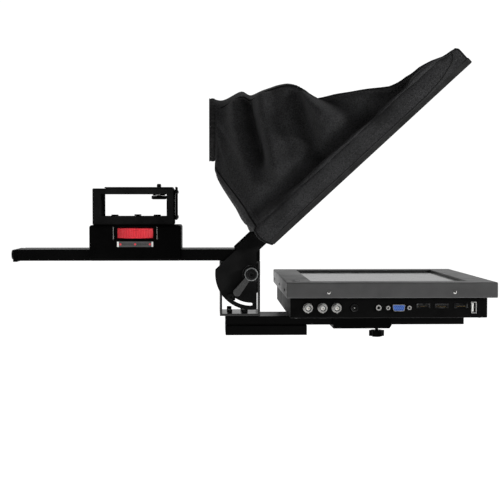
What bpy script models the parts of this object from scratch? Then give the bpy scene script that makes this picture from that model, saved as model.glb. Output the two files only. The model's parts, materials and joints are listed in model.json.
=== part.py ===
"""Teleprompter head: a camera rail over a monitor rail, and a tilting beam-splitter hood.

Lengths are in millimetres and angles in degrees until a shape is made. +X points toward
the reader, -Y is the side with the connectors, +Z is up, and the origin is the middle of
the base block's underside, which sits on a tripod.
"""

import math

import bmesh
import bpy
from mathutils import Matrix, Vector

MM = 0.001
GAP = 0.3  # between pieces that touch

# Lower rail, base and upright
RAIL_HALF = 33.5
BASE_X = (-52.0, 52.0)
BASE_HALF = 35.0
BASE_TOP = 12.7
LOWER_RAIL_X = (-52.0, 254.0)
LOWER_RAIL_Z = (13.0, 24.2)
UPRIGHT_X = (-59.2, -7.8)
UPRIGHT_Z = (24.5, 95.0)
UPRIGHT_WALL = 3.0
UPRIGHT_BOLTS_X = (-46.4, -27.4)
UPRIGHT_BOLT_Y = 24.0

# Camera rail and sled
CAMERA_RAIL_X = (-315.0, -8.0)
CAMERA_RAIL_Z = (95.3, 109.8)
SLED_X = (-224.0, -108.0)
SLED_Z = (95.5, 140.6)
SLED_HALF = 42.0
WHEEL_X = -166.0
WHEEL_RADIUS = 45.0
WHEEL_Z = (124.0, 136.8)
WINDOW_HALF = 28.0
WINDOW_DEPTH = 2.6
SHOE_HALF_X = 20.0
SHOE_HALF_Y = 15.0
SHOE_Z = (110.1, 114.6)
RISER_X = (-220.0, -117.6)
RISER_Z = (140.9, 187.0)
RISER_HALF = 38.0
RISER_OPENING_X = (-210.0, -126.5)
RISER_OPENING_Z = (151.7, 180.0)
RISER_SCREWS = ((-193.0, -20.0), (-166.0, 20.0), (-139.0, -20.0))
CAMERA_SCREW_X = -137.5
CAMERA_SCREW_TRAVEL = 50.0

# Tilting hood
PIVOT_X = -19.6
PIVOT_Z = 78.5
SECTOR_RADIUS = 45.6
SLOT_RADIUS = 38.5
SLOT_HALF = 1.9
SLOT_ANGLES = (225.0, 270.0)
GUIDE_ANGLE = 228.0
LEVER_ANGLE = 232.0
YOKE_Y = (36.5, 39.5)
YOKE_RIGHT_X = -12.6
YOKE_BAND = (2.0, 22.2)
WEB_BAND = (21.8, 24.6)
WEB_BOTTOM_Z = 111.0
GLASS_CORNER_X = 3.5
GLASS_CORNER_Z = 118.0
GLASS_TILT = 43.05
HOOD_LENGTH = 312.5
HOOD_BOTTOM_HALF = 130.0
HOOD_TOP_HALF = 170.0
HEM_DEPTH = 19.0
TOP_SAG = 24.0
BOTTOM_BULGE = 4.0
FABRIC = 1.6
NECK_X = -62.0
NECK_Z = 263.0
NECK_RADIUS = 40.0

# Monitor
BEZEL_X = (18.7, 270.5)
BEZEL_Z = (55.8, 74.5)
BEZEL_HALF = 150.0
SCREEN_X = (49.5, 238.5)
SCREEN_HALF = 123.0
PANEL_MARGIN = 9.0
CASE_X = (23.5, 259.2)
CASE_Z = (31.7, 55.5)
CASE_HALF = 143.0
CASE_WALL = 2.5
PORT_Z = 44.0
BNC_X = (44.3, 61.7, 78.4)
HDMI_X = (182.2, 204.2, 227.2)
CARRIAGE_X = (85.0, 160.0)
CARRIAGE_Z = (8.6, 28.2)
CARRIAGE_HALF = 40.0
KNOB_X = 146.0
BUTTON_X = 31.5
BUTTON_Y = -118.0

# Colour, roughness and metallic value of each finish
FINISHES = {
    "black anodised": ((0.012, 0.012, 0.013), 0.42, 0.0),
    "black paint": ((0.020, 0.020, 0.022), 0.55, 0.0),
    "bright steel": ((0.62, 0.62, 0.60), 0.28, 1.0),
    "black steel": ((0.05, 0.05, 0.05), 0.40, 1.0),
    "grey plastic": ((0.16, 0.17, 0.17), 0.45, 0.0),
    "case plastic": ((0.030, 0.030, 0.032), 0.60, 0.0),
    "red plastic": ((0.72, 0.03, 0.06), 0.35, 0.0),
    "blue plastic": ((0.02, 0.06, 0.50), 0.40, 0.0),
    "rubber": ((0.015, 0.015, 0.015), 0.85, 0.0),
    "nylon": ((0.012, 0.012, 0.013), 0.90, 0.0),
    "glass": ((0.75, 0.80, 0.78), 0.03, 0.0),
    "screen": ((0.30, 0.31, 0.32), 0.10, 0.0),
    "circuit board": ((0.02, 0.16, 0.06), 0.50, 0.0),
}

# An object's turn that points its own +Z along the named direction
POINTING = {
    "+X": (0, 90, 0),
    "-X": (0, -90, 0),
    "+Y": (-90, 0, 0),
    "-Y": (90, 0, 0),
    "+Z": (0, 0, 0),
    "-Z": (180, 0, 0),
}


# Scene helpers


def clear_scene():
    for item in list(bpy.data.objects):
        bpy.data.objects.remove(item, do_unlink=True)


def make_collection(name):
    collection = bpy.data.collections.new(name)
    bpy.context.scene.collection.children.link(collection)
    return collection


def make_material(name, finish):
    colour, roughness, metallic = FINISHES[finish]
    material = bpy.data.materials.new(name + " " + finish)
    material.use_nodes = True
    shader = material.node_tree.nodes["Principled BSDF"]
    shader.inputs["Base Color"].default_value = (*colour, 1.0)
    shader.inputs["Roughness"].default_value = roughness
    shader.inputs["Metallic"].default_value = metallic
    if finish == "glass":
        shader.inputs["Transmission Weight"].default_value = 1.0
    return material


def place(name, mesh, centre, turn, finish):
    """Links the mesh as a part, or as a hidden cutter where it has no finish."""
    obj = bpy.data.objects.new(name, mesh)
    obj.location = Vector(centre) * MM
    obj.rotation_euler = [math.radians(angle) for angle in turn]
    if finish:
        PARTS.objects.link(obj)
        mesh.materials.append(make_material(name, finish))
    else:
        CUTTERS.objects.link(obj)
        obj.hide_render = True
        obj.display_type = "WIRE"
    return obj


def finish_mesh(name, shape, smooth=False):
    mesh = bpy.data.meshes.new(name)
    shape.to_mesh(mesh)
    shape.free()
    if smooth:
        mesh.shade_smooth()
        mesh.set_sharp_from_angle(angle=math.radians(40))
    return mesh


def joint_frame(name, x, y, z):
    """An empty on a joint's axis, which the pieces that move with it are parented to."""
    frame = bpy.data.objects.new(name, None)
    frame.location = Vector((x, y, z)) * MM
    frame.empty_display_size = 0.02
    PARTS.objects.link(frame)
    return frame


def attach(frame, pieces):
    for piece in pieces:
        piece.parent = frame
        piece.matrix_parent_inverse = Matrix.Translation(-frame.location)


# Shape helpers


def box(name, x, y, z, finish, bevel=0.0, segments=2):
    """A block between the (low, high) limits x, y and z."""
    limits = (x, y, z)
    size = Vector([high - low for low, high in limits]) * MM
    shape = bmesh.new()
    bmesh.ops.create_cube(shape, size=1.0)
    bmesh.ops.scale(shape, vec=size, verts=shape.verts)
    centre = [(low + high) / 2 for low, high in limits]
    obj = place(name, finish_mesh(name, shape), centre, (0, 0, 0), finish)
    if bevel:
        add_bevel(obj, bevel, segments)
    return obj


def add_bevel(obj, width, segments):
    bevel = obj.modifiers.new("rounded edges", "BEVEL")
    bevel.width = width * MM
    bevel.segments = segments
    bevel.limit_method = "ANGLE"


def cylinder(name, radius, centre, length, axis, finish, segments=24):
    """A cylinder of the given length about centre, along the axis X, Y or Z."""
    shape = bmesh.new()
    bmesh.ops.create_cone(
        shape,
        cap_ends=True,
        segments=segments,
        radius1=radius * MM,
        radius2=radius * MM,
        depth=length * MM,
    )
    mesh = finish_mesh(name, shape, smooth=True)
    return place(name, mesh, centre, POINTING["+" + axis], finish)


def turned(name, profile, seat, direction, finish, steps=20):
    """A turned piece. The profile's (radius, height) pairs run from its top down."""
    shape = bmesh.new()
    points = [shape.verts.new((radius * MM, 0, height * MM)) for radius, height in profile]
    for upper, lower in zip(points, points[1:]):
        shape.edges.new((upper, lower))
    mesh = finish_mesh(name, shape)
    obj = place(name, mesh, seat, POINTING[direction], finish)
    screw = obj.modifiers.new("turn", "SCREW")
    screw.steps = steps
    screw.render_steps = steps
    screw.use_merge_vertices = True
    screw.merge_threshold = 0.00001
    screw.use_smooth_shade = False
    return obj


def add_socket(screw, seat, direction, top, radius):
    """A hexagonal key socket in a screw's head, whose flat top is top above seat."""
    along = direction[1]
    sign = 1 if direction[0] == "+" else -1
    centre = list(seat)
    centre["XYZ".index(along)] += sign * top
    cut(screw, cylinder("cut_socket_" + screw.name, radius, centre, 2 * radius, along, None, 6))


def bolt(name, head, shank, seat, direction, finish, steps=16):
    """A socket screw whose head, a (radius, height) pair, rests on seat and faces direction."""
    head_radius, head_height = head
    shank_radius, shank_length = shank
    edge = 0.12 * head_height
    profile = (
        (0, head_height),
        (head_radius - edge, head_height),
        (head_radius, head_height - edge),
        (head_radius, 0),
        (shank_radius, 0),
        (shank_radius, -shank_length),
        (0, -shank_length),
    )
    screw = turned(name, profile, seat, direction, finish, steps)
    add_socket(screw, seat, direction, head_height, min(0.5 * head_radius, 0.7 * head_height))
    return screw


def flat(name, outlines, thickness, centre, turn, finish):
    """A plate filled inside the first outline, less the others, about its own XY plane."""
    curve = bpy.data.curves.new(name, "CURVE")
    curve.dimensions = "2D"
    curve.fill_mode = "BOTH"
    curve.extrude = thickness / 2 * MM
    for outline in outlines:
        spline = curve.splines.new("POLY")
        spline.points.add(len(outline) - 1)
        for point, (across, along) in zip(spline.points, outline):
            point.co = (across * MM, along * MM, 0, 1)
        spline.use_cyclic_u = True
    guide = bpy.data.objects.new(name + " outline", curve)
    CUTTERS.objects.link(guide)
    graph = bpy.context.evaluated_depsgraph_get()
    mesh = bpy.data.meshes.new_from_object(guide.evaluated_get(graph))
    bpy.data.objects.remove(guide, do_unlink=True)
    shape = bmesh.new()
    shape.from_mesh(mesh)
    bpy.data.meshes.remove(mesh)
    bmesh.ops.remove_doubles(shape, verts=shape.verts, dist=0.000001)
    bmesh.ops.recalc_face_normals(shape, faces=shape.faces)
    return place(name, finish_mesh(name, shape), centre, turn, finish)


def upright_plate(name, outlines, y, finish):
    """A plate whose outlines are (x, z) points, between the (low, high) limits y."""
    return flat(name, outlines, y[1] - y[0], (0, sum(y) / 2, 0), (90, 0, 0), finish)


def level_plate(name, outlines, z, finish):
    """A plate whose outlines are (x, y) points, between the (low, high) limits z."""
    return flat(name, outlines, z[1] - z[0], (0, 0, sum(z) / 2), (0, 0, 0), finish)


def cut(target, *cutters):
    for cutter in cutters:
        modifier = target.modifiers.new("cut", "BOOLEAN")
        modifier.operation = "DIFFERENCE"
        modifier.object = cutter


def join(target, *helpers):
    for helper in helpers:
        modifier = target.modifiers.new("join", "BOOLEAN")
        modifier.operation = "UNION"
        modifier.object = helper


def arc(centre, radius, start, end, steps):
    """Points from the angle start to the angle end, both in degrees."""
    angles = [math.radians(start + (end - start) * k / steps) for k in range(steps + 1)]
    return [
        (centre[0] + radius * math.cos(angle), centre[1] + radius * math.sin(angle))
        for angle in angles
    ]


def ring(centre, radius, steps):
    return arc(centre, radius, 0, 360, steps)[:-1]


def on_glass(u, w):
    """(x, z) at u along the glass from its lower corner, and w square to it, hood side."""
    tilt = math.radians(GLASS_TILT)
    x = GLASS_CORNER_X + u * math.cos(tilt) - w * math.sin(tilt)
    return x, GLASS_CORNER_Z + u * math.sin(tilt) + w * math.cos(tilt)


def hood_half(u):
    """Half the hood's width at u along the glass."""
    return HOOD_BOTTOM_HALF + (HOOD_TOP_HALF - HOOD_BOTTOM_HALF) * u / HOOD_LENGTH


# Base, rails and upright


def make_base_block():
    block = box("base_block", BASE_X, (-BASE_HALF, BASE_HALF), (0, BASE_TOP), "black anodised", 0.8)
    large = cylinder("cut_thread_large", 4.2, (18, 0, 3), 14, "Z", None)
    small = cylinder("cut_thread_small", 2.8, (-18, 0, 3), 14, "Z", None)
    cut(block, large, small)
    return [block]


def make_monitor_rail():
    rail = box(
        "monitor_rail",
        LOWER_RAIL_X,
        (-RAIL_HALF, RAIL_HALF),
        LOWER_RAIL_Z,
        "black anodised",
        0.8,
    )
    for number, (x, y) in enumerate(upright_bolt_places()):
        cut(rail, cylinder(f"cut_rail_{number}", 2.6, (x, y, 21), 8, "Z", None, 16))
    return [rail]


def upright_bolt_places():
    return [(x, y) for y in (-UPRIGHT_BOLT_Y, UPRIGHT_BOLT_Y) for x in UPRIGHT_BOLTS_X]


def make_upright():
    y = (-RAIL_HALF, RAIL_HALF)
    tube = box("upright_frame", UPRIGHT_X, y, UPRIGHT_Z, "black anodised", 0.6)
    inside_x = (UPRIGHT_X[0] + UPRIGHT_WALL, UPRIGHT_X[1] - UPRIGHT_WALL)
    inside_z = (UPRIGHT_Z[0] + UPRIGHT_WALL, UPRIGHT_Z[1] - UPRIGHT_WALL)
    cut(tube, box("cut_upright", inside_x, (-40, 40), inside_z, None))
    pieces = [tube]
    seat = inside_z[0] + GAP
    heads = (3.2, 4.1, 3.2, 4.1)
    for number, (x, y) in enumerate(upright_bolt_places()):
        cut(tube, cylinder(f"cut_floor_{number}", 2.6, (x, y, 26), 8, "Z", None, 16))
        name = f"upright_bolt_{number + 1}"
        head = (heads[number], 4.7)
        pieces.append(bolt(name, head, (2.2, 9.5), (x, y, seat), "+Z", "black steel"))
    return pieces


def guide_place():
    angle = math.radians(GUIDE_ANGLE)
    return PIVOT_X + SLOT_RADIUS * math.cos(angle), PIVOT_Z + SLOT_RADIUS * math.sin(angle)


def make_pivot():
    """The block in the upright's top, the bolt the yoke turns on, and the guide screw."""
    left = UPRIGHT_X[0] + UPRIGHT_WALL + GAP
    right = UPRIGHT_X[1] - UPRIGHT_WALL - GAP
    top = UPRIGHT_Z[1] - UPRIGHT_WALL - GAP
    outline = [
        (left, top),
        (left, 50.0),
        (-50.0, 44.5),
        (-39.5, 44.5),
        (-39.5, 54.0),
        (right, 54.0),
        (right, top),
    ]
    bore = ring((PIVOT_X, PIVOT_Z), 4.3, 24)
    block = upright_plate("pivot_block", [outline, bore], (-33.0, 33.0), "black paint")
    guide_x, guide_z = guide_place()
    cut(block, cylinder("cut_guide", 1.9, (guide_x, -30, guide_z), 14, "Y", None, 16))
    guide_seat = (guide_x, -YOKE_Y[1] - GAP, guide_z)
    guide = bolt("guide_screw", (4.0, 2.8), (1.6, 15.0), guide_seat, "-Y", "bright steel")
    lever_end = 50.3
    profile = (
        (0, lever_end + 2.4),
        (5.6, lever_end + 2.4),
        (6.0, lever_end + 2.0),
        (6.0, lever_end),
        (4.0, lever_end),
        (4.0, -YOKE_Y[1] - GAP),
        (8.0, -YOKE_Y[1] - GAP),
        (8.0, -YOKE_Y[1] - GAP - 4.5),
        (0, -YOKE_Y[1] - GAP - 4.5),
    )
    seat = (PIVOT_X, 0, PIVOT_Z)
    axle = turned("pivot_bolt", profile, seat, "-Y", "black steel")
    add_socket(axle, seat, "-Y", lever_end + 2.4, 2.6)
    return [block, guide, axle]


def make_camera_rail():
    y = (-RAIL_HALF, RAIL_HALF)
    rail = box("camera_rail", CAMERA_RAIL_X, y, CAMERA_RAIL_Z, "black anodised", 0.8)
    end = CAMERA_RAIL_X[0]
    plate_x = (end - 6.0, end - GAP)
    plate = box("rail_end_plate", plate_x, y, (94.0, 109.5), "black paint", 0.8)
    screw_z = 102.0
    for number, piece in enumerate((rail, plate)):
        hole = cylinder(f"cut_end_{number}", 2.8, (end, 0, screw_z), 24, "X", None, 16)
        cut(piece, hole)
    seat = (end - 6.0 - GAP, 0, screw_z)
    screw = bolt("rail_end_screw", (6.1, 6.0), (2.4, 15.0), seat, "-X", "black steel", 24)
    return [rail, plate, screw]


# Camera sled


def make_sled_body():
    y = (-SLED_HALF, SLED_HALF)
    body = box("sled_body", SLED_X, y, SLED_Z, "black paint", 3.0, 3)
    channel_half = RAIL_HALF + 0.4
    channel_z = (SLED_Z[0] - 4, CAMERA_RAIL_Z[1] + GAP)
    channel_x = (SLED_X[0] - 4, SLED_X[1] + 4)
    cut(body, box("cut_channel", channel_x, (-channel_half, channel_half), channel_z, None))
    window_x = (WHEEL_X - WINDOW_HALF, WHEEL_X + WINDOW_HALF)
    inner = SLED_HALF - WINDOW_DEPTH
    outer = SLED_HALF + 3
    for side, window_y in (("near", (-outer, -inner)), ("far", (inner, outer))):
        cut(body, box(f"cut_window_{side}", window_x, window_y, (122.0, 138.8), None))
    middle = sum(WHEEL_Z) / 2
    wheel_room = WHEEL_Z[1] - WHEEL_Z[0] + 2 * GAP
    centre = (WHEEL_X, 0, middle)
    cut(body, cylinder("cut_wheel", WHEEL_RADIUS + 0.5, centre, wheel_room, "Z", None, 56))
    cut(body, cylinder("cut_axle", 5.1, (WHEEL_X, 0, 129.6), 26, "Z", None))
    pocket_x = (WHEEL_X - SHOE_HALF_X - GAP, WHEEL_X + SHOE_HALF_X + GAP)
    pocket_y = (-SHOE_HALF_Y - GAP, SHOE_HALF_Y + GAP)
    cut(body, box("cut_shoe", pocket_x, pocket_y, (108, SHOE_Z[1] + 1.3), None))
    for number, (x, screw_y) in enumerate(RISER_SCREWS):
        place_at = (x, screw_y, 140)
        cut(body, cylinder(f"cut_sled_{number}", 2.6, place_at, 4.4, "Z", None, 16))
    return [body]


def make_index_plate():
    x = (WHEEL_X - 23.0, WHEEL_X + 23.0)
    y = (-SLED_HALF - 1.3, -SLED_HALF - GAP)
    return [box("index_plate", x, y, (113.0, 120.0), "grey plastic")]


def make_thumbwheel():
    """A ribbed disc that stands out of both windows, and the pin it turns on."""
    ribs = 48
    rim = []
    for rib in range(ribs):
        start = 360 / ribs * rib
        rim += arc((WHEEL_X, 0), WHEEL_RADIUS, start, start + 3.6, 1)
        rim += arc((WHEEL_X, 0), WHEEL_RADIUS - 0.8, start + 4.8, start + 6.3, 1)
    bore = ring((WHEEL_X, 0), 5.1, 24)
    wheel = level_plate("thumbwheel", [rim, bore], WHEEL_Z, "red plastic")
    axle = cylinder("thumbwheel_axle", 4.7, (WHEEL_X, 0, 128.6), 23, "Z", "bright steel")
    return wheel, axle


def make_clamp_shoe():
    x = (WHEEL_X - SHOE_HALF_X, WHEEL_X + SHOE_HALF_X)
    return box("clamp_shoe", x, (-SHOE_HALF_Y, SHOE_HALF_Y), SHOE_Z, "rubber", 0.5)


def slot_cutter(name, z):
    """The long hole that the camera screw slides in."""
    end = CAMERA_SCREW_X + 4.0
    start = CAMERA_SCREW_X - CAMERA_SCREW_TRAVEL - 4.0
    return box(name, (start, end), (-3.6, 3.6), z, None)


def make_riser():
    y = (-RISER_HALF, RISER_HALF)
    frame = box("riser_frame", RISER_X, y, RISER_Z, "black paint", 1.2)
    opening_y = (-RISER_HALF - 4, RISER_HALF + 4)
    cut(frame, box("cut_riser", RISER_OPENING_X, opening_y, RISER_OPENING_Z, None))
    cut(frame, slot_cutter("cut_riser_slot", (179, 189)))
    pieces = [frame]
    for number, (x, screw_y) in enumerate(RISER_SCREWS):
        place_at = (x, screw_y, 147)
        cut(frame, cylinder(f"cut_riser_{number}", 2.6, place_at, 16, "Z", None, 16))
        name = f"riser_screw_{number + 1}"
        seat = (x, screw_y, RISER_OPENING_Z[0] + GAP)
        pieces.append(bolt(name, (4.6, 1.8), (2.2, 13.8), seat, "+Z", "black steel"))
    pieces.append(make_front_plate())
    pad_z = (RISER_Z[1] + GAP, RISER_Z[1] + 1.8)
    pad = box("camera_pad", (-205, -119), (-34, 34), pad_z, "rubber", 0.4)
    cut(pad, slot_cutter("cut_pad_slot", (186, 190)))
    pieces.append(pad)
    return pieces


def make_front_plate():
    """A thin lip in front of the riser, standing off it on a low and a high spacer."""
    x = (RISER_X[1] + 1.9, RISER_X[1] + 3.7)
    plate = box("riser_front_plate", x, (-30, 30), (147.0, 189.2), "black paint", 0.4)
    spacer_x = (RISER_X[1] + GAP, RISER_X[1] + 2.5)
    low = box("join_low_spacer", spacer_x, (-26, 26), (148.3, 152.3), None)
    high = box("join_high_spacer", spacer_x, (-26, 26), (181.0, 185.0), None)
    join(plate, low, high)
    return plate


def make_camera_screw():
    """The camera screw with a coin slot, and the washer that slides under the slot."""
    head_bottom = 173.3
    profile = (
        (0, 20.0),
        (2.6, 20.0),
        (3.1, 19.4),
        (3.1, 4.6),
        (9.2, 4.6),
        (9.75, 4.0),
        (9.75, 0.6),
        (9.2, 0),
        (0, 0),
    )
    seat = (CAMERA_SCREW_X, 0, head_bottom)
    screw = turned("camera_screw", profile, seat, "+Z", "black steel", 32)
    coin_x = (CAMERA_SCREW_X - 12, CAMERA_SCREW_X + 12)
    cut(screw, box("cut_coin_slot", coin_x, (-0.9, 0.9), (171, head_bottom + 1.6), None))
    ring_outlines = [ring((CAMERA_SCREW_X, 0), radius, 28) for radius in (8.2, 3.5)]
    washer = level_plate("camera_screw_washer", ring_outlines, (178.2, 179.7), "bright steel")
    return screw, washer


# Tilting yoke, glass and hood


def arc_slot():
    """The slot's outline: an outer arc, a round end, an inner arc and a round end."""
    pivot = (PIVOT_X, PIVOT_Z)
    first, last = SLOT_ANGLES
    ends = []
    for angle in (last, first):
        turn = math.radians(angle)
        x = PIVOT_X + SLOT_RADIUS * math.cos(turn)
        ends.append((x, PIVOT_Z + SLOT_RADIUS * math.sin(turn)))
    outer = arc(pivot, SLOT_RADIUS + SLOT_HALF, first, last, 16)
    inner = arc(pivot, SLOT_RADIUS - SLOT_HALF, last, first, 16)
    last_end = arc(ends[0], SLOT_HALF, last, last + 180, 8)[1:-1]
    first_end = arc(ends[1], SLOT_HALF, first + 180, first + 360, 8)[1:-1]
    return outer + last_end + inner + first_end


def make_yoke():
    """Near sector plate, far arm, the web over the rail's end, and the glass flange."""
    low, high = YOKE_BAND
    arm_end = [on_glass(-0.8, low), on_glass(-0.8, 18.0), on_glass(-5.0, high)]
    pivot = (PIVOT_X, PIVOT_Z)
    tilt = math.radians(GLASS_TILT)
    corner_x, corner_z = on_glass(0, low)
    elbow_z = corner_z + (YOKE_RIGHT_X - corner_x) * math.tan(tilt)
    pivot_w = (PIVOT_Z - GLASS_CORNER_Z) * math.cos(tilt)
    pivot_w += (GLASS_CORNER_X - PIVOT_X) * math.sin(tilt)
    start = GLASS_TILT + 180 - math.degrees(math.asin((high - pivot_w) / SECTOR_RADIUS))
    end = 270 + math.degrees(math.asin((YOKE_RIGHT_X - PIVOT_X) / SECTOR_RADIUS))
    sector = arm_end + arc(pivot, SECTOR_RADIUS, start, end, 40) + [(YOKE_RIGHT_X, elbow_z)]
    outlines = [sector, ring(pivot, 4.4, 24), arc_slot()]
    yoke = upright_plate("tilt_yoke", outlines, (-YOKE_Y[1], -YOKE_Y[0]), "black paint")
    boss = 11.0
    arm_x = PIVOT_X + boss
    arm_z = corner_z + (arm_x - corner_x) * math.tan(tilt)
    far_arm = arm_end + [on_glass(-38, high)] + arc(pivot, boss, 135, 360, 24)
    far_arm += [(arm_x, arm_z)]
    arm = upright_plate("join_far_arm", [far_arm, ring(pivot, 4.4, 24)], YOKE_Y, None)
    web = upright_plate("join_web", [web_outline()], (-39.0, 39.0), None)
    flange_outline = [on_glass(u, w) for u, w in ((-3.3, 3), (-0.4, 3), (-0.4, 17.6), (-3.3, 17.6))]
    flange = upright_plate("join_flange", [flange_outline], (-60.0, 60.0), None)
    join(yoke, flange, arm, web)
    return [yoke]


def web_outline():
    """The web follows the yoke's upper edge and stops just above the camera rail."""
    inner, outer = WEB_BAND
    tilt = math.radians(GLASS_TILT)
    outline = [on_glass(-6.0, inner), on_glass(-7.4, outer)]
    for band in (outer, inner):
        x, z = on_glass(0, band)
        outline.append((x + (WEB_BOTTOM_Z - z) / math.tan(tilt), WEB_BOTTOM_Z))
    return outline


def make_lever():
    """The ratchet handle on the pivot, and the friction washer behind its hub."""
    outlines = [ring((PIVOT_X, PIVOT_Z), radius, 28) for radius in (11.0, 4.4)]
    washer_y = (-YOKE_Y[1] - 1.6, -YOKE_Y[1] - GAP)
    washer = upright_plate("tilt_washer", outlines, washer_y, "bright steel")
    hub_outlines = [ring((PIVOT_X, PIVOT_Z), radius, 32) for radius in (8.5, 4.4)]
    lever = upright_plate("tilt_lever", hub_outlines, (-50.0, -41.5), "grey plastic")
    handle = [(6.0, -3.2)] + arc((29.0, 0), 5.0, -80, 80, 8) + [(6.0, 3.2)]
    turn = math.radians(LEVER_ANGLE)
    outline = []
    for along, across in handle:
        x = PIVOT_X + along * math.cos(turn) - across * math.sin(turn)
        outline.append((x, PIVOT_Z + along * math.sin(turn) + across * math.cos(turn)))
    join(lever, upright_plate("join_handle", [outline], (-49.6, -44.6), None))
    return lever, washer


def trapezoid(margin):
    """(u, y) corners of the hood's mouth, less a margin all round."""
    low = margin
    high = HOOD_LENGTH - margin
    low_half = hood_half(low) - margin
    high_half = hood_half(high) - margin
    return [(low, -low_half), (high, -high_half), (high, high_half), (low, low_half)]


def glass_plate(name, outlines, w, finish):
    """A plate parallel to the glass, between the (low, high) limits w."""
    x, z = on_glass(0, sum(w) / 2)
    return flat(name, outlines, w[1] - w[0], (x, 0, z), (0, -GLASS_TILT, 0), finish)


def make_glass():
    frame = glass_plate("glass_frame", [trapezoid(2.5), trapezoid(15)], (4.2, 17.0), "black paint")
    glass = glass_plate("beamsplitter_glass", [trapezoid(4.0)], (1.0, 3.9), "glass")
    corners = ((0, -1), (14, -1), (14, 0.7), (2.2, 0.7), (2.2, 14), (0, 14))
    outline = [on_glass(u, w) for u, w in corners]
    ledge = upright_plate("glass_ledge", [outline], (-105.0, 105.0), "black paint")
    return [frame, glass, ledge]


def mouth_point(side, p, w):
    """Where a hood panel meets the glass frame, for p from -1 to 1 across the panel."""
    if side in ("top", "bottom"):
        u = HOOD_LENGTH + 1.5 if side == "top" else 0.4
        y = p * hood_half(u)
    else:
        u = HOOD_LENGTH * (1 + p) / 2
        y = hood_half(u) * (1 if side == "far" else -1)
    x, z = on_glass(u, w)
    return Vector((x, y, z))


def neck_point(side, p):
    """The same corner of the panel on the round neck, 45 degrees either side of its middle."""
    if side == "top":
        angle = 45 * p
    elif side == "bottom":
        angle = 180 - 45 * p
    else:
        angle = (90 - 45 * p) * (1 if side == "far" else -1)
    turn = math.radians(angle)
    y = NECK_RADIUS * math.sin(turn)
    return Vector((NECK_X, y, NECK_Z + NECK_RADIUS * math.cos(turn)))


def hood_point(side, across, t):
    """A panel's point for t from 0 at the frame to 1 at the neck."""
    p = across * (1 - 0.018 - 0.052 * t)
    point = mouth_point(side, p, HEM_DEPTH + 0.8).lerp(neck_point(side, p), t)
    slack = 4 * t * (1 - t)
    if side == "top":
        point.z -= TOP_SAG * slack
    elif side == "bottom":
        point.x -= BOTTOM_BULGE * slack
    else:
        point.z -= TOP_SAG * slack * max(p, 0) ** 2
        point.x -= BOTTOM_BULGE * slack * max(-p, 0) ** 2
        point.y *= 1 - 0.05 * slack * (1 - p * p)
    return point


def make_hood_panel(side, columns, rows):
    """One sewn panel, as a loft from the glass frame's edge to the neck."""
    shape = bmesh.new()
    grid = []
    if side != "bottom":
        row = []
        for column in range(columns + 1):
            p = (2 * column / columns - 1) * (1 - 0.018)
            row.append(mouth_point(side, p, 1.0))
        grid.append(row)
    for step in range(rows + 1):
        spread = [2 * column / columns - 1 for column in range(columns + 1)]
        grid.append([hood_point(side, across, step / rows) for across in spread])
    grid = [[shape.verts.new(point * MM) for point in row] for row in grid]
    for lower, upper in zip(grid, grid[1:]):
        for column in range(columns):
            corners = (lower[column], lower[column + 1], upper[column + 1], upper[column])
            shape.faces.new(corners)
    bmesh.ops.recalc_face_normals(shape, faces=shape.faces)
    name = f"hood_{side}_panel"
    panel = place(name, finish_mesh(name, shape, smooth=True), (0, 0, 0), (0, 0, 0), "nylon")
    cloth = panel.modifiers.new("cloth", "SOLIDIFY")
    cloth.thickness = FABRIC * MM
    cloth.offset = 0.0
    return panel


def make_hood():
    panels = [make_hood_panel("top", 8, 10), make_hood_panel("bottom", 8, 8)]
    panels += [make_hood_panel("near", 8, 8), make_hood_panel("far", 8, 8)]
    start = 1.2
    end = 10.5
    profile = (
        (NECK_RADIUS - 0.8, end),
        (NECK_RADIUS + 0.8, end),
        (NECK_RADIUS + 0.8, start),
        (NECK_RADIUS - 0.8, start),
        (NECK_RADIUS - 0.8, end),
    )
    seat = (NECK_X, 0, NECK_Z)
    sleeve = turned("hood_neck_sleeve", profile, seat, "-X", "nylon", 32)
    band = [
        (radius, height + 6.5) for radius, height in arc((NECK_RADIUS - 2.8, 0), 1.5, 90, -270, 6)
    ]
    elastic = turned("hood_neck_elastic", band, seat, "-X", "rubber", 28)
    return panels + [sleeve, elastic]


# Monitor


def make_monitor_shell():
    """Bezel with its screen, and the rear case with the main board on its floor."""
    x, z = BEZEL_X, BEZEL_Z
    bezel = box("monitor_bezel", x, (-BEZEL_HALF, BEZEL_HALF), z, "case plastic", 1.2)
    cut(bezel, box("cut_screen", SCREEN_X, (-SCREEN_HALF, SCREEN_HALF), (50, 80), None))
    panel_x = (SCREEN_X[0] - PANEL_MARGIN, SCREEN_X[1] + PANEL_MARGIN)
    panel_half = SCREEN_HALF + PANEL_MARGIN
    cut(bezel, box("cut_panel", panel_x, (-panel_half, panel_half), (50, 72.3), None))
    cut(bezel, cylinder("cut_button", 4.4, (BUTTON_X, BUTTON_Y, 74.2), 8, "Z", None))
    fit_x = (panel_x[0] + GAP, panel_x[1] - GAP)
    fit_y = (-panel_half + GAP, panel_half - GAP)
    screen = box("screen_glass", fit_x, fit_y, (70.2, 72.0), "screen")
    panel = box("lcd_panel", fit_x, fit_y, (60.0, 69.9), "grey plastic")
    return [bezel, screen, panel, make_rear_case(), make_main_board()]


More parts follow.
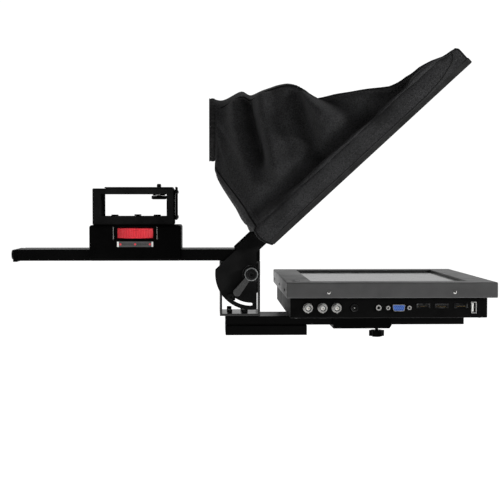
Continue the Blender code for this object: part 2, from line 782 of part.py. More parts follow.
def make_rear_case():
    case_y = (-CASE_HALF, CASE_HALF)
    case = box("rear_case", CASE_X, case_y, CASE_Z, "case plastic", 1.0)
    inside_x = (CASE_X[0] + CASE_WALL, CASE_X[1] - CASE_WALL)
    inside_half = CASE_HALF - CASE_WALL
    floor = CASE_Z[0] + CASE_WALL
    cut(case, box("cut_case", inside_x, (-inside_half, inside_half), (floor, 60), None))
    wall = (-CASE_HALF - 3, -CASE_HALF + 5)
    for name, (x, z) in port_openings().items():
        cut(case, box("cut_" + name, x, wall, z, None))
    rounds = [(x, 5.0) for x in BNC_X] + [(99.9, 4.6), (128.7, 3.4)]
    for number, (x, radius) in enumerate(rounds):
        centre = (x, -CASE_HALF, PORT_Z)
        cut(case, cylinder(f"cut_jack_{number}", radius, centre, 12, "Y", None, 20))
    return case


def port_openings():
    """The (x, z) limits of each rectangular hole in the case's near wall."""
    openings = {"vga": ((144.3, 160.3), (39.9, 48.1))}
    for number, x in enumerate(HDMI_X):
        openings[f"hdmi_{number}"] = ((x - 8.2, x + 8.2), (43.0, 48.8))
    openings["usb"] = ((239.2, 246.2), (36.9, 51.1))
    return openings


def make_main_board():
    return box("main_board", (36, 248), (-128, 40), (34.6, 36.2), "circuit board")


def make_bnc_jack(number, x):
    profile = (
        (0, 9.0),
        (0.9, 9.0),
        (0.9, 2.4),
        (3.6, 2.4),
        (3.6, 11.0),
        (4.8, 11.0),
        (4.8, 2.0),
        (5.8, 2.0),
        (5.8, GAP),
        (4.7, GAP),
        (4.7, -9.0),
        (0, -9.0),
    )
    return turned(f"bnc_jack_{number}", profile, (x, -CASE_HALF, PORT_Z), "-Y", "bright steel")


def make_round_jack(name, x, radius, finish):
    profile = (
        (0.6 * radius, 1.6),
        (radius, 1.6),
        (radius, -9.0),
        (0, -9.0),
        (0, -6.0),
        (0.6 * radius, -6.0),
        (0.6 * radius, 1.6),
    )
    return turned(name, profile, (x, -CASE_HALF, PORT_Z), "-Y", finish)


def make_socket(name, opening, depth, standout, finish):
    """A rectangular socket that fills its hole in the case and is open to the front."""
    (x0, x1), (z0, z1) = opening
    front = -CASE_HALF - standout
    x = (x0 + GAP, x1 - GAP)
    z = (z0 + GAP, z1 - GAP)
    socket = box(name, x, (front, front + depth), z, finish)
    inside_x = (x[0] + 0.9, x[1] - 0.9)
    inside_z = (z[0] + 0.9, z[1] - 0.9)
    hollow = (front - 2, front + 0.6 * depth)
    cut(socket, box("cut_inside_" + name, inside_x, hollow, inside_z, None))
    return socket


def make_connectors():
    pieces = [make_bnc_jack(number + 1, x) for number, x in enumerate(BNC_X)]
    pieces.append(make_round_jack("dc_jack", 99.9, 4.3, "black steel"))
    pieces.append(make_round_jack("audio_jack", 128.7, 3.1, "black steel"))
    openings = port_openings()
    pieces.append(make_socket("vga_port", openings["vga"], 12.0, 5.0, "blue plastic"))
    for number in range(len(HDMI_X)):
        name = f"hdmi_port_{number + 1}"
        opening = openings[f"hdmi_{number}"]
        pieces.append(make_socket(name, opening, 11.0, 0.6, "black steel"))
    pieces.append(make_socket("usb_port", openings["usb"], 14.0, 0.8, "bright steel"))
    return pieces


def make_power_button():
    profile = ((0, 3.8), (3.4, 3.8), (4.0, 3.3), (4.0, 0), (0, 0))
    seat = (BUTTON_X, BUTTON_Y, 71.5)
    return turned("power_button", profile, seat, "+Z", "grey plastic")


def make_carriage():
    """The channel that slides on the lower rail, with the plate the monitor is screwed to."""
    y = (-CARRIAGE_HALF, CARRIAGE_HALF)
    carriage = box("monitor_carriage", CARRIAGE_X, y, CARRIAGE_Z, "black paint", 0.8)
    x = (CARRIAGE_X[0] - 4, CARRIAGE_X[1] + 4)
    half = RAIL_HALF + 0.4
    channel_z = (LOWER_RAIL_Z[0] - GAP, LOWER_RAIL_Z[1] + GAP)
    cut(carriage, box("cut_carriage", x, (-half, half), channel_z, None))
    cut(carriage, box("cut_step", (157.5, 170.0), (-50, 50), (0, channel_z[0]), None))
    pocket = ((KNOB_X - 10.3, KNOB_X + 10.3), (-10.3, 10.3), (10.0, 14))
    cut(carriage, box("cut_clamp_shoe", *pocket, None))
    cut(carriage, cylinder("cut_clamp_stem", 2.4, (KNOB_X, 0, 9), 8, "Z", None, 16))
    plate_z = (CARRIAGE_Z[1] + GAP, CASE_Z[0] - GAP)
    plate = box("vesa_plate", CARRIAGE_X, (-45, 45), plate_z, "black paint", 0.5)
    return [carriage, plate]


def make_clamp_knob():
    """A six-lobed knob on a stem, and the shoe that it lifts against the rail."""
    lobes = 6
    steps = 48
    outline = []
    for step in range(steps):
        turn = 2 * math.pi * step / steps
        radius = 9.0 + math.cos(lobes * turn)
        outline.append((KNOB_X + radius * math.cos(turn), radius * math.sin(turn)))
    knob = level_plate("monitor_clamp_knob", [outline], (-5.0, 2.5), "black paint")
    join(knob, cylinder("join_stem", 2.0, (KNOB_X, 0, 5.7), 8.4, "Z", None, 16))
    shoe_x = (KNOB_X - 10, KNOB_X + 10)
    shoe = box("monitor_clamp_shoe", shoe_x, (-10, 10), (10.7, 12.7), "rubber", 0.4)
    return knob, shoe


def build():
    make_base_block()
    make_monitor_rail()
    make_upright()
    make_pivot()
    make_camera_rail()

    sled = joint_frame("camera_sled_slide", WHEEL_X, 0, CAMERA_RAIL_Z[1])
    wheel_axis = joint_frame("thumbwheel_axis", WHEEL_X, 0, WHEEL_Z[0])
    shoe_slide = joint_frame("clamp_shoe_slide", WHEEL_X, 0, SHOE_Z[0])
    washer_slide = joint_frame("camera_screw_slide", CAMERA_SCREW_X, 0, RISER_OPENING_Z[1])
    screw_axis = joint_frame("camera_screw_axis", CAMERA_SCREW_X, 0, RISER_OPENING_Z[1])
    wheel, axle = make_thumbwheel()
    screw, washer = make_camera_screw()
    attach(sled, make_sled_body() + make_index_plate() + make_riser() + [axle])
    attach(wheel_axis, [wheel])
    attach(shoe_slide, [make_clamp_shoe()])
    attach(washer_slide, [washer])
    attach(screw_axis, [screw])
    attach(sled, [wheel_axis, shoe_slide, washer_slide])
    attach(washer_slide, [screw_axis])

    tilt = joint_frame("hood_tilt_axis", PIVOT_X, 0, PIVOT_Z)
    lever_axis = joint_frame("tilt_lever_axis", PIVOT_X, 0, PIVOT_Z)
    lever, washer = make_lever()
    attach(tilt, make_yoke() + make_glass() + make_hood() + [washer])
    attach(lever_axis, [lever])

    monitor = joint_frame("monitor_slide", sum(CARRIAGE_X) / 2, 0, LOWER_RAIL_Z[1])
    knob_axis = joint_frame("monitor_clamp_axis", KNOB_X, 0, 0)
    knob_shoe_slide = joint_frame("monitor_clamp_slide", KNOB_X, 0, LOWER_RAIL_Z[0])
    button_slide = joint_frame("power_button_slide", BUTTON_X, BUTTON_Y, BEZEL_Z[1])
    knob, knob_shoe = make_clamp_knob()
    attach(monitor, make_monitor_shell() + make_connectors() + make_carriage())
    attach(knob_axis, [knob])
    attach(knob_shoe_slide, [knob_shoe])
    attach(button_slide, [make_power_button()])
    attach(monitor, [knob_axis, knob_shoe_slide, button_slide])


clear_scene()
PARTS = make_collection("teleprompter")
CUTTERS = make_collection("teleprompter cutters")
build()
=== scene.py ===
"""Looks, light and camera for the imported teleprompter.

Shapes are described in millimetres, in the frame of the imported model: +X points toward the
reader, -Y is the side with the connectors, and +Z is up.
"""

import json
import math

import bmesh
import bpy
import numpy as np
from mathutils import Matrix, Vector, noise


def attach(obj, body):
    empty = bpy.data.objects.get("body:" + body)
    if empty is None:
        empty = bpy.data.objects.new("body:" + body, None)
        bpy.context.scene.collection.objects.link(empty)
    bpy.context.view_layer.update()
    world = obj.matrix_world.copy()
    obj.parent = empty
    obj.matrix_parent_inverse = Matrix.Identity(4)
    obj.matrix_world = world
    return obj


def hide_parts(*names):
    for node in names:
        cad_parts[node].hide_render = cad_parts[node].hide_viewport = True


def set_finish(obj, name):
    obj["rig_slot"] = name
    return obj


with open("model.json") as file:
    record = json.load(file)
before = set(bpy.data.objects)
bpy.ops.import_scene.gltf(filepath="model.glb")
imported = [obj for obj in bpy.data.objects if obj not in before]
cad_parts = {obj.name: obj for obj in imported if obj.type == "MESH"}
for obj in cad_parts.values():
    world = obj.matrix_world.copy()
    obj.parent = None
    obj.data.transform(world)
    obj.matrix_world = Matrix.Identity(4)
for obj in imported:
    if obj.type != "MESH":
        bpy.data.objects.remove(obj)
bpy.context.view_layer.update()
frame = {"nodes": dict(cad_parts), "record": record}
scene = bpy.context.scene

MM = 0.001

# Places in the CAD: the glass plane and the hood, then the tilt pivot's (x, z), the sled's
# thumbwheel and its window, the camera screw, and the monitor's case with its ports
GLASS_CORNER = (3.5, 118.0)
GLASS_TILT = math.radians(43.05)
HOOD_LENGTH = 312.5
HOOD_BOTTOM_HALF = 130.0
HOOD_TOP_HALF = 170.0
NECK_X = -62.0
NECK_Z = 263.0
NECK_RADIUS = 40.0
PIVOT = (-19.6, 78.5)
WHEEL_X = -166.0
WHEEL_RADIUS = 45.0
WHEEL_Z = (124.0, 136.8)
WINDOW_HALF = 28.0
SCREW_X = -137.5
SCREW_BOTTOM = 173.3
CASE_HALF = 143.0
BEZEL_HALF = 150.0
BEZEL_TOP = 74.5
BEZEL_SCREW_Z = 62.8
CASE_BOTTOM = 31.7
PORT_Z = 44.0
BNC_X = (44.3, 61.7, 78.4)
DC_JACK_X = 99.9
AUDIO_JACK_X = 128.7
VGA_X = 152.3
HDMI_X = (182.2, 204.2, 227.2)

# The camera, fitted to the object's outline, and the floor below it
CAMERA_PLACE = (-72.7, -1589.9, 167.6)
CAMERA_DOWN = 2.164
CAMERA_TURN = -1.912
LENS = 88.13
FLOOR_Z = -0.75


# Node and mesh helpers


def shader_of(mat):
    return mat.node_tree.nodes["Principled BSDF"]


def feed(mat, socket, value):
    """Links a node's output to the socket, or sets it to a number, vector, colour or grey."""
    if isinstance(value, bpy.types.NodeSocket):
        mat.node_tree.links.new(value, socket)
    elif socket.type == "RGBA":
        socket.default_value = (*np.broadcast_to(value, 3), 1.0)
    else:
        socket.default_value = value


def add_node(mat, kind, settings=None, **inputs):
    """A shader node with its settings and its inputs, whose names have _ for a space."""
    made = mat.node_tree.nodes.new("ShaderNode" + kind)
    for key, value in (settings or {}).items():
        setattr(made, key, value)
    for key, value in inputs.items():
        feed(mat, made.inputs[key.replace("_", " ")], value)
    return made


def join(mat, kind, *values, output=0, **settings):
    """The output of a node whose inputs are told apart only by their order."""
    made = add_node(mat, kind, settings)
    for socket, value in zip(made.inputs, values):
        feed(mat, socket, value)
    return made.outputs[output]


def multiply(mat, first, second):
    return join(mat, "Math", first, second, operation="MULTIPLY")


def cloud(mat, scale, detail=3.0, stretch=None):
    """A noise value from 0 to 1, with features about 1/scale metres across."""
    where = add_node(mat, "TexCoord").outputs["Object"]
    if stretch:
        where = add_node(mat, "Mapping", Vector=where, Scale=stretch).outputs[0]
    return add_node(mat, "TexNoise", Vector=where, Scale=scale, Detail=detail).outputs[0]


def span(mat, value, low, high, start=0.3, end=0.7, curve="LINEAR"):
    """The value, from start to end, spread over low to high."""
    ends = {"From_Min": start, "From_Max": end, "To_Min": low, "To_Max": high}
    return add_node(mat, "MapRange", {"interpolation_type": curve}, Value=value, **ends).outputs[0]


def mix_colour(mat, factor, first, second):
    made = add_node(mat, "Mix", {"data_type": "RGBA"})
    for index, value in ((0, factor), (6, first), (7, second)):
        feed(mat, made.inputs[index], value)
    return made.outputs[2]


def mottled(mat, scale, detail, first, second, *ends):
    """A cloudy mix of two colours."""
    return mix_colour(mat, span(mat, cloud(mat, scale, detail), 0.0, 1.0, *ends), first, second)


def set_colour(mat, colour):
    feed(mat, shader_of(mat).inputs["Base Color"], colour)


def set_roughness(mat, value):
    feed(mat, shader_of(mat).inputs["Roughness"], value)


def set_bump(mat, height, strength, distance, **after):
    """Bumps by height, in metres, on top of the Normal of another bump if there is one."""
    bump = add_node(mat, "Bump", Height=height, Strength=strength, Distance=distance, **after)
    feed(mat, shader_of(mat).inputs["Normal"], bump.outputs[0])


def finish(name, roughness, specular=0.5, **inputs):
    """A material with constant inputs, whose names have _ for a space."""
    mat = bpy.data.materials.new(name)
    mat.use_nodes = True
    inputs |= {"Roughness": roughness, "Specular IOR Level": specular}
    for key, value in inputs.items():
        feed(mat, shader_of(mat).inputs[key.replace("_", " ")], value)
    return mat


def add_object(name, shape, mat):
    """The bmesh as an object in the scene."""
    mesh = bpy.data.meshes.new(name)
    shape.to_mesh(mesh)
    shape.free()
    mesh.materials.append(mat)
    mesh.shade_smooth()
    made = bpy.data.objects.new(name, mesh)
    scene.collection.objects.link(made)
    return made


# Camera, world, lights and floor


def make_camera():
    data = bpy.data.cameras.new("camera")
    data.lens = LENS
    data.sensor_width = 36.0
    data.clip_end = 60.0
    camera = bpy.data.objects.new("camera", data)
    camera.location = Vector(CAMERA_PLACE) * MM
    camera.rotation_euler = (math.radians(90 - CAMERA_DOWN), 0, math.radians(CAMERA_TURN))
    scene.collection.objects.link(camera)
    scene.camera = camera


def area_light(name, place, target, size, power):
    data = bpy.data.lights.new(name, "AREA")
    data.shape = "RECTANGLE"
    data.size, data.size_y = size
    data.energy = power
    lamp = bpy.data.objects.new(name, data)
    lamp.location = place
    direction = Vector(target) - Vector(place)
    lamp.rotation_euler = direction.to_track_quat("-Z", "Y").to_euler()
    scene.collection.objects.link(lamp)


def make_world():
    """White behind the object. What lights it is dark toward -Y and bright above and behind."""
    world = bpy.data.worlds.new("studio")
    scene.world = world
    world.use_nodes = True
    world.node_tree.nodes.clear()
    place = add_node(world, "TexCoord").outputs["Generated"]
    toward = add_node(world, "SeparateXYZ", Vector=place).outputs
    back = span(world, toward["Y"], 0.03, 0.70, -0.25, 0.9, "SMOOTHSTEP")
    above = span(world, toward["Z"], 0.0, 0.30, 0.10, 0.95, "SMOOTHSTEP")
    around = add_node(world, "Background", Strength=join(world, "Math", back, above, operation="ADD"))
    behind = add_node(world, "Background", Color=(1, 1, 1), Strength=1.05)
    seen = add_node(world, "LightPath").outputs["Is Camera Ray"]
    mixed = join(world, "MixShader", seen, around.outputs[0], behind.outputs[0])
    add_node(world, "OutputWorld", Surface=mixed)


def make_floor():
    mat = finish("pale floor", 0.9, 0.1, Base_Color=0.93, Emission_Color=1.0, Emission_Strength=0.80)
    shape = bmesh.new()
    bmesh.ops.create_grid(shape, x_segments=1, y_segments=1, size=14)
    floor = add_object("floor", shape, mat)
    floor.location = (0, 0, FLOOR_Z)


make_camera()
make_world()
make_floor()
scene.view_settings.view_transform = "Standard"
area_light("overhead", (0.25, 0.75, 2.1), (0.0, 0.0, 0.15), (2.4, 1.2), 11)
area_light("key", (2.45, -1.45, 0.85), (0.05, -0.1, 0.2), (0.5, 0.5), 72)
area_light("fill", (-1.8, -1.4, 1.3), (0.0, -0.1, 0.2), (1.2, 1.2), 1.5)
area_light("rim", (-2.3, 0.9, 0.7), (0.0, 0.0, 0.1), (1.2, 1.2), 4)


# Materials


def worn_edges(mat):
    """From 0 to 1 where an edge has lost its coat, from a rounded normal against the true one."""
    rounded = add_node(mat, "Bevel", {"samples": 6}, Radius=0.7 * MM).outputs[0]
    true = add_node(mat, "NewGeometry").outputs["True Normal"]
    turn = join(mat, "VectorMath", rounded, true, output="Value", operation="DOT_PRODUCT")
    edge = span(mat, turn, 1.0, 0.0, 0.80, 0.97)
    patchy = span(mat, cloud(mat, 90.0, 5.0), 0.0, 1.0, 0.46, 0.66)
    return multiply(mat, edge, patchy)


def coated_metal(name, greys, rough, grain_scale, grain, wear, bare, specular=0.05):
    """An anodised or painted metal: cloudy tone between two greys, fine grain, rubbed edges."""
    mat = finish(name, rough, specular)
    colour = mottled(mat, 35.0, 4.0, *greys)
    edge = multiply(mat, worn_edges(mat), wear)
    set_colour(mat, mix_colour(mat, edge, colour, bare))
    set_roughness(mat, span(mat, cloud(mat, 22.0, 5.0), rough - 0.05, rough + 0.07))
    set_bump(mat, cloud(mat, grain_scale, 2.0), grain, 0.0002)
    return mat


def bare_metal(name, colour, rough, stretch):
    """Steel with fine drawn lines along one direction."""
    mat = finish(name, rough, Metallic=1.0)
    lines = cloud(mat, 900.0, 3.0, stretch=stretch)
    set_colour(mat, mottled(mat, 160.0, 3.0, [c * 0.82 for c in colour], colour))
    set_roughness(mat, span(mat, lines, rough - 0.08, rough + 0.10))
    set_bump(mat, lines, 0.12, 0.0001)
    return mat


def moulded_plastic(name, dark, light, rough, texture, scale, specular=0.5):
    """A plastic with a fine moulded texture and a cloudy tone between two colours."""
    mat = finish(name, rough, specular)
    set_colour(mat, mottled(mat, 60.0, 4.0, dark, light))
    set_roughness(mat, span(mat, cloud(mat, 30.0, 4.0), rough - 0.05, rough + 0.06))
    set_bump(mat, cloud(mat, scale, 2.0), texture, 0.0002)
    return mat


def woven(name, dark, light, thread):
    """Nylon cloth. The threads cross at right angles on the flat pattern, in metres."""
    mat = finish(name, 0.88, 0.12, Sheen_Weight=0.025, Sheen_Roughness=0.45)
    flat = add_node(mat, "UVMap", {"uv_map": "flat"}).outputs[0]
    bands = 2 * math.pi / (20 * thread)
    warp = add_node(mat, "TexWave", {"bands_direction": "X"}, Vector=flat, Scale=bands)
    weft = add_node(mat, "TexWave", {"bands_direction": "Y"}, Vector=flat, Scale=bands)
    height = join(mat, "Math", warp.outputs["Fac"], weft.outputs["Fac"], operation="MAXIMUM")
    slub = span(mat, cloud(mat, 650.0, 2.0), 0.15, 1.0)
    tone = multiply(mat, span(mat, cloud(mat, 26.0, 5.0), 0.35, 1.0), slub)
    set_colour(mat, mix_colour(mat, span(mat, tone, 0.0, 1.0, 0.1, 0.6), dark, light))
    first = add_node(mat, "Bump", Height=cloud(mat, 240.0, 3.0), Strength=0.25, Distance=0.0006)
    set_bump(mat, height, 0.45, 0.00025, Normal=first.outputs[0])
    return mat


def rubbery(name, grey):
    mat = finish(name, 0.82, 0.3)
    set_colour(mat, mottled(mat, 120.0, 4.0, grey, grey * 1.6))
    set_bump(mat, cloud(mat, 1500.0, 2.0), 0.3, 0.0002)
    return mat


ANODISED = coated_metal("black anodised", (0.0004, 0.0010), 0.32, 2600.0, 0.08, 0.4, 0.10)
PAINT = coated_metal("black powder coat", (0.0008, 0.0018), 0.42, 1100.0, 0.18, 0.3, 0.07, 0.02)
GLOSS = coated_metal("gloss black", (0.0008, 0.0018), 0.22, 1600.0, 0.05, 0.3, 0.07, 0.5)
# A lighter copy of the black powder coat with no specular: its lighter greys are painted sheen for the yoke
# and riser.
SHEEN_PAINTED_BLACK = coated_metal("black paint lightened as painted sheen", (0.0060, 0.0110), 0.55, 1100.0, 0.18, 0.3, 0.07, 0.0)
BLACK_STEEL = coated_metal("blackened steel", (0.004, 0.009), 0.30, 1600.0, 0.08, 0.8, 0.30, 0.1)
shader_of(BLACK_STEEL).inputs["Metallic"].default_value = 0.35
BRIGHT = bare_metal("turned steel", (0.50, 0.495, 0.48), 0.24, (1, 1, 8))
GOLD = bare_metal("gold contact", (0.80, 0.55, 0.22), 0.22, (1, 1, 1))
LEVER = bare_metal("cast lever", (0.09, 0.09, 0.09), 0.28, (1, 1, 1))
# Grey cast finish; on the lever's rim its light tone is a painted highlight.
GREY = moulded_plastic("grey cast finish and painted rim highlight", (0.14, 0.145, 0.145), (0.19, 0.195, 0.195), 0.42, 0.15, 900.0)
BEZEL = moulded_plastic("bezel plastic", 0.026, 0.034, 0.40, 0.30, 1400.0, 0.55)
CASE = moulded_plastic("case plastic", 0.0010, 0.0022, 0.50, 0.30, 1400.0, 0.04)
INDEX = moulded_plastic("index plate", 0.055, 0.075, 0.45, 0.10, 900.0, 0.3)
RED = moulded_plastic("red plastic", (0.68, 0.030, 0.045), (0.80, 0.045, 0.065), 0.36, 0.08, 700.0)
BLUE = moulded_plastic("blue plastic", (0.025, 0.085, 0.33), (0.035, 0.11, 0.40), 0.38, 0.08, 900.0)
WHITE = moulded_plastic("white plastic", (0.70, 0.70, 0.68), (0.78, 0.78, 0.76), 0.4, 0.08, 900.0)
# Dark plastic and print, and also painted shade: thin dark pieces that stand for the shade inside holes,
# slots, vents, gaps and recesses.
DARK_PLASTIC_AND_HOLE_SHADE = moulded_plastic("socket plastic and painted hole shade", 0.006, 0.010, 0.6, 0.1, 900.0, 0.2)
BOARD = moulded_plastic("circuit board", (0.01, 0.09, 0.03), (0.015, 0.13, 0.045), 0.4, 0.2, 500.0)
TAPE = moulded_plastic("hood tape", 0.014, 0.026, 0.90, 0.5, 1100.0, 0.08)
PIPING = moulded_plastic("hood piping", 0.008, 0.014, 0.92, 0.5, 1100.0, 0.0)
RUBBER = rubbery("rubber", 0.012)
THREAD = rubbery("thread", 0.030)
NYLON = woven("hood cloth", (0.010, 0.010, 0.0104), (0.029, 0.029, 0.030), 0.0009)


def make_glass_material():
    mat = finish("beam splitter", 0.015, Transmission_Weight=1.0, IOR=2.0)
    dusty = mottled(mat, 18.0, 6.0, (0.86, 0.90, 0.88), (0.80, 0.84, 0.82), 0.45, 0.75)
    set_colour(mat, dusty)
    set_roughness(mat, span(mat, cloud(mat, 40.0, 5.0), 0.008, 0.03))
    return mat


def make_screen_material():
    mat = finish("screen", 0.06, 0.6)
    set_colour(mat, mottled(mat, 9.0, 3.0, (0.012, 0.013, 0.014), (0.017, 0.018, 0.019)))
    set_roughness(mat, span(mat, cloud(mat, 55.0, 5.0), 0.05, 0.11))
    return mat


GLASS = make_glass_material()
SCREEN = make_screen_material()

BY_SLOT = {
    "black_anodised": ANODISED,
    "black_paint": PAINT,
    "bright_steel": BRIGHT,
    "black_steel": BLACK_STEEL,
    "grey_plastic": GREY,
    "case_plastic": CASE,
    "red_plastic": RED,
    "blue_plastic": BLUE,
    "rubber": RUBBER,
    "nylon": RUBBER,
    "coated_glass": GLASS,
    "screen": SCREEN,
    "circuit_board": BOARD,
}
SLOT_OF = {material.name: slot for slot, material in BY_SLOT.items()} | {DARK_PLASTIC_AND_HOLE_SHADE.name: "black_steel"}
OWN_MATERIAL = {
    "monitor_bezel": BEZEL,
    "index_plate": INDEX,
    "tilt_lever": LEVER,
    # The yoke and riser take the lightened black, whose lighter tone is painted sheen.
    "tilt_yoke": SHEEN_PAINTED_BLACK,
    "tilt_washer": BLACK_STEEL,
    "guide_screw": BLACK_STEEL,
    "riser_frame": SHEEN_PAINTED_BLACK,
    "riser_front_plate": SHEEN_PAINTED_BLACK,
    "upright_frame": GLOSS,
}


def paint_nodes():
    """Gives each CAD node its slot's material, or its own."""
    slots = {row["node"]: row["material_slot"] for row in frame["record"]["subparts"]}
    for name, obj in frame["nodes"].items():
        material = OWN_MATERIAL.get(name, BY_SLOT[slots[name]])
        for place in obj.material_slots:
            place.link = "OBJECT"
            place.material = material
        obj["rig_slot"] = slots[name]


paint_nodes()


# Shape helpers


def piece(name, shape, material, body, slot=None, angle=35):
    """The bmesh as a piece that rides a body, with edges sharp where they turn over angle."""
    made = add_object(name, shape, material)
    made.data.set_sharp_from_angle(angle=math.radians(angle))
    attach(made, body)
    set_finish(made, slot or SLOT_OF[material.name])
    return made


# The turn, in degrees about an axis, that takes +Z to a direction
TURNS = {"+X": (90, "Y"), "-X": (-90, "Y"), "+Y": (-90, "X"), "-Y": (90, "X")}
TURNS |= {"+Z": (0, "X"), "-Z": (180, "X")}


def stand(centre, direction):
    """A frame at centre whose own +Z points along direction."""
    angle, axis = TURNS[direction]
    return Matrix.Translation(Vector(centre) * MM) @ Matrix.Rotation(math.radians(angle), 4, axis)


def add_block(shape, low, high, bevel=0.0):
    """A block between two corners, with softened edges."""
    low, high = Vector(low) * MM, Vector(high) * MM
    size = Matrix.Diagonal((*(high - low), 1))
    made = bmesh.ops.create_cube(shape, size=1.0, matrix=Matrix.Translation((low + high) / 2) @ size)
    if bevel:
        edges = list({edge for vert in made["verts"] for edge in vert.link_edges})
        bmesh.ops.bevel(shape, geom=edges, offset=bevel * MM, segments=2, affect="EDGES")


def ring_steps(count):
    """Each place round a ring, with the one after it."""
    return [(step, (step + 1) % count) for step in range(count)]


def bridge(shape, rings):
    """Quads between each ring of points and the next."""
    for first, second in zip(rings, rings[1:]):
        for step, after in ring_steps(len(first)):
            shape.faces.new((first[step], second[step], second[after], first[after]))


def close_loop(shape, rings):
    """A closed surface through the rings and back to the first, facing outward."""
    bridge(shape, [*rings, rings[0]])
    bmesh.ops.recalc_face_normals(shape, faces=shape.faces)


def end_caps(shape, rings):
    """Closes both ends of a run of rings."""
    shape.faces.new(list(reversed(rings[0])))
    shape.faces.new(rings[-1])


def add_outline(shape, outline, height, place):
    """The points of an outline of (x, y), at a height in the frame place."""
    return [shape.verts.new(place @ (Vector((x, y, height)) * MM)) for x, y in outline]


def add_turned(shape, profile, place, steps=32):
    """A turned solid from (radius, height) pairs that run from its top down."""
    rings = []
    for radius, height in profile:
        ring = polygon(radius, steps) if radius else [(0, 0)]
        rings.append(add_outline(shape, ring, height, place))
    for upper, lower in zip(rings, rings[1:]):
        if len(upper) == len(lower):
            bridge(shape, [upper, lower])
            continue
        for step, after in ring_steps(steps):
            if len(upper) == 1:
                shape.faces.new((upper[0], lower[step], lower[after]))
            else:
                shape.faces.new((upper[after], upper[step], lower[0]))


def add_prism(shape, outline, low, high, place, bevel=0.0):
    """An extruded outline of (x, y) points, from height low to high, in the frame place."""
    floor, roof = (add_outline(shape, outline, height, place) for height in (low, high))
    shape.faces.new(list(reversed(floor)))
    top = shape.faces.new(roof)
    bridge(shape, [roof, floor])
    if bevel:
        bmesh.ops.bevel(shape, geom=list(top.edges), offset=bevel * MM, segments=2, affect="EDGES")


def polygon(radius, sides, start=0.0):
    """The corners of a regular polygon, from the angle start."""
    turns = [start + 2 * math.pi * k / sides for k in range(sides)]
    return [(radius * math.cos(turn), radius * math.sin(turn)) for turn in turns]


# Hood

# Distances of the hem band's rows from the glass, then the rows between band and neck, those of
# the neck's sleeve, and the columns of each panel
HEM_ROWS = (1.0, 4.0, 8.0, 12.0, 16.0, 20.0, 24.0, 28.0)
BODY_ROWS = 58
SLEEVE_ROWS = 5
SLEEVE_LENGTH = 10.4
SIDES = (("near", 54), ("top", 40), ("far", 54), ("bottom", 28))
OUT = {"near": -1, "far": 1}

# How far the cloth lies outside the glass frame, its thickness, and how far it may move as it hangs
CLOTH_GAP = 0.6
CLOTH_THICKNESS = 0.9
MOST_HANG = 5.0
STITCH, STITCH_GAP = 2.6, 1.6

# The near and far seams of the top panel, and the seams of the bottom one, as (x, z)
TOP_LINE = ((228, 350), (213, 347), (200, 343.5), (188, 339.5), (174, 332), (160, 323), (150, 316))
TOP_LINE += ((140, 311), (113, 308), (78, 303), (58, 299), (50, 304), (42, 311), (34, 315), (25, 317))
TOP_LINE += ((14, 315), (-4, 310), (-15, 304), (-22, 300), (-27, 307), (-34, 306), (-46, 299))
TOP_LINE += ((-57, 295), (-63, 294))
BOTTOM_LINE = ((-12, 133), (-25, 150), (-33, 166), (-46, 185), (-58, 202), (-64, 212), (-66, 226))

# Folds of a side panel: the crest's or valley's line as (x, z), its height and its half width
FOLDS = (
    (((-29, 312), (-25, 290), (-19, 262), (-12, 232), (-7, 208)), -15, 5.0),
    (((-42, 310), (-40, 280), (-33, 240), (-22, 200), (-10, 160)), 7, 9),
    (((-8, 312), (-3, 275), (4, 240), (8, 205), (6, 175)), 10, 11),
    (((34, 312), (36, 285), (41, 260), (50, 238), (62, 222)), -13, 10),
    (((38, 316), (50, 296), (66, 276), (84, 258)), 13, 11),
    (((60, 300), (80, 288), (104, 280), (130, 290)), -9, 13),
    (((152, 312), (122, 287), (90, 260), (52, 227), (20, 194), (-2, 156)), -10, 8),
    (((205, 338), (170, 318), (128, 278), (88, 240), (48, 203), (12, 168), (-12, 142)), 3, 9),
)


def on_glass(u, w):
    """(x, z) at u along the glass from its lower corner, and w square to it, hood side."""
    x = GLASS_CORNER[0] + u * math.cos(GLASS_TILT) - w * math.sin(GLASS_TILT)
    return x, GLASS_CORNER[1] + u * math.sin(GLASS_TILT) + w * math.cos(GLASS_TILT)


def hood_half(u):
    return HOOD_BOTTOM_HALF + (HOOD_TOP_HALF - HOOD_BOTTOM_HALF) * u / HOOD_LENGTH


def smooth_step(low, high, value):
    share = min(max((value - low) / (high - low), 0.0), 1.0)
    return share * share * (3 - 2 * share)


def mouth_point(side, p, w):
    """A point over the glass frame's edge, for p from -1 to 1 across a panel."""
    puff = 2.4 * math.sin(math.pi * min(w / 36, 1.0)) * (1 - abs(p) ** 6)
    if side != "bottom":
        w *= 1 - 0.11 * (1.0 if side == "top" else smooth_step(0.80, 1.0, p))
    if side in ("top", "bottom"):
        u = HOOD_LENGTH + 1.0 if side == "top" else -CLOTH_GAP
        out = p
        puff = 0
    else:
        u = -CLOTH_GAP + (HOOD_LENGTH + 1.0 + CLOTH_GAP) * (1 + p) / 2
        out = OUT[side]
    x, z = on_glass(u, w)
    return Vector((x, out * (hood_half(u) + CLOTH_GAP + puff), z))


def round_neck(turn, radius, x=NECK_X):
    """A point of a ring round the neck, turned from its top toward the far side."""
    return Vector((x, radius * math.sin(turn), NECK_Z + radius * math.cos(turn)))


def neck_point(side, p):
    angles = {"top": 45 * p, "bottom": 180 - 45 * p, "far": 90 - 45 * p, "near": 45 * p - 90}
    return round_neck(math.radians(angles[side]), NECK_RADIUS)


def on_line(line, value, axis=0):
    """z on an (x, z) line at this x, or x at this z for axis 1."""
    places = sorted((point[axis], point[1 - axis]) for point in line)
    return float(np.interp(value, *zip(*places)))


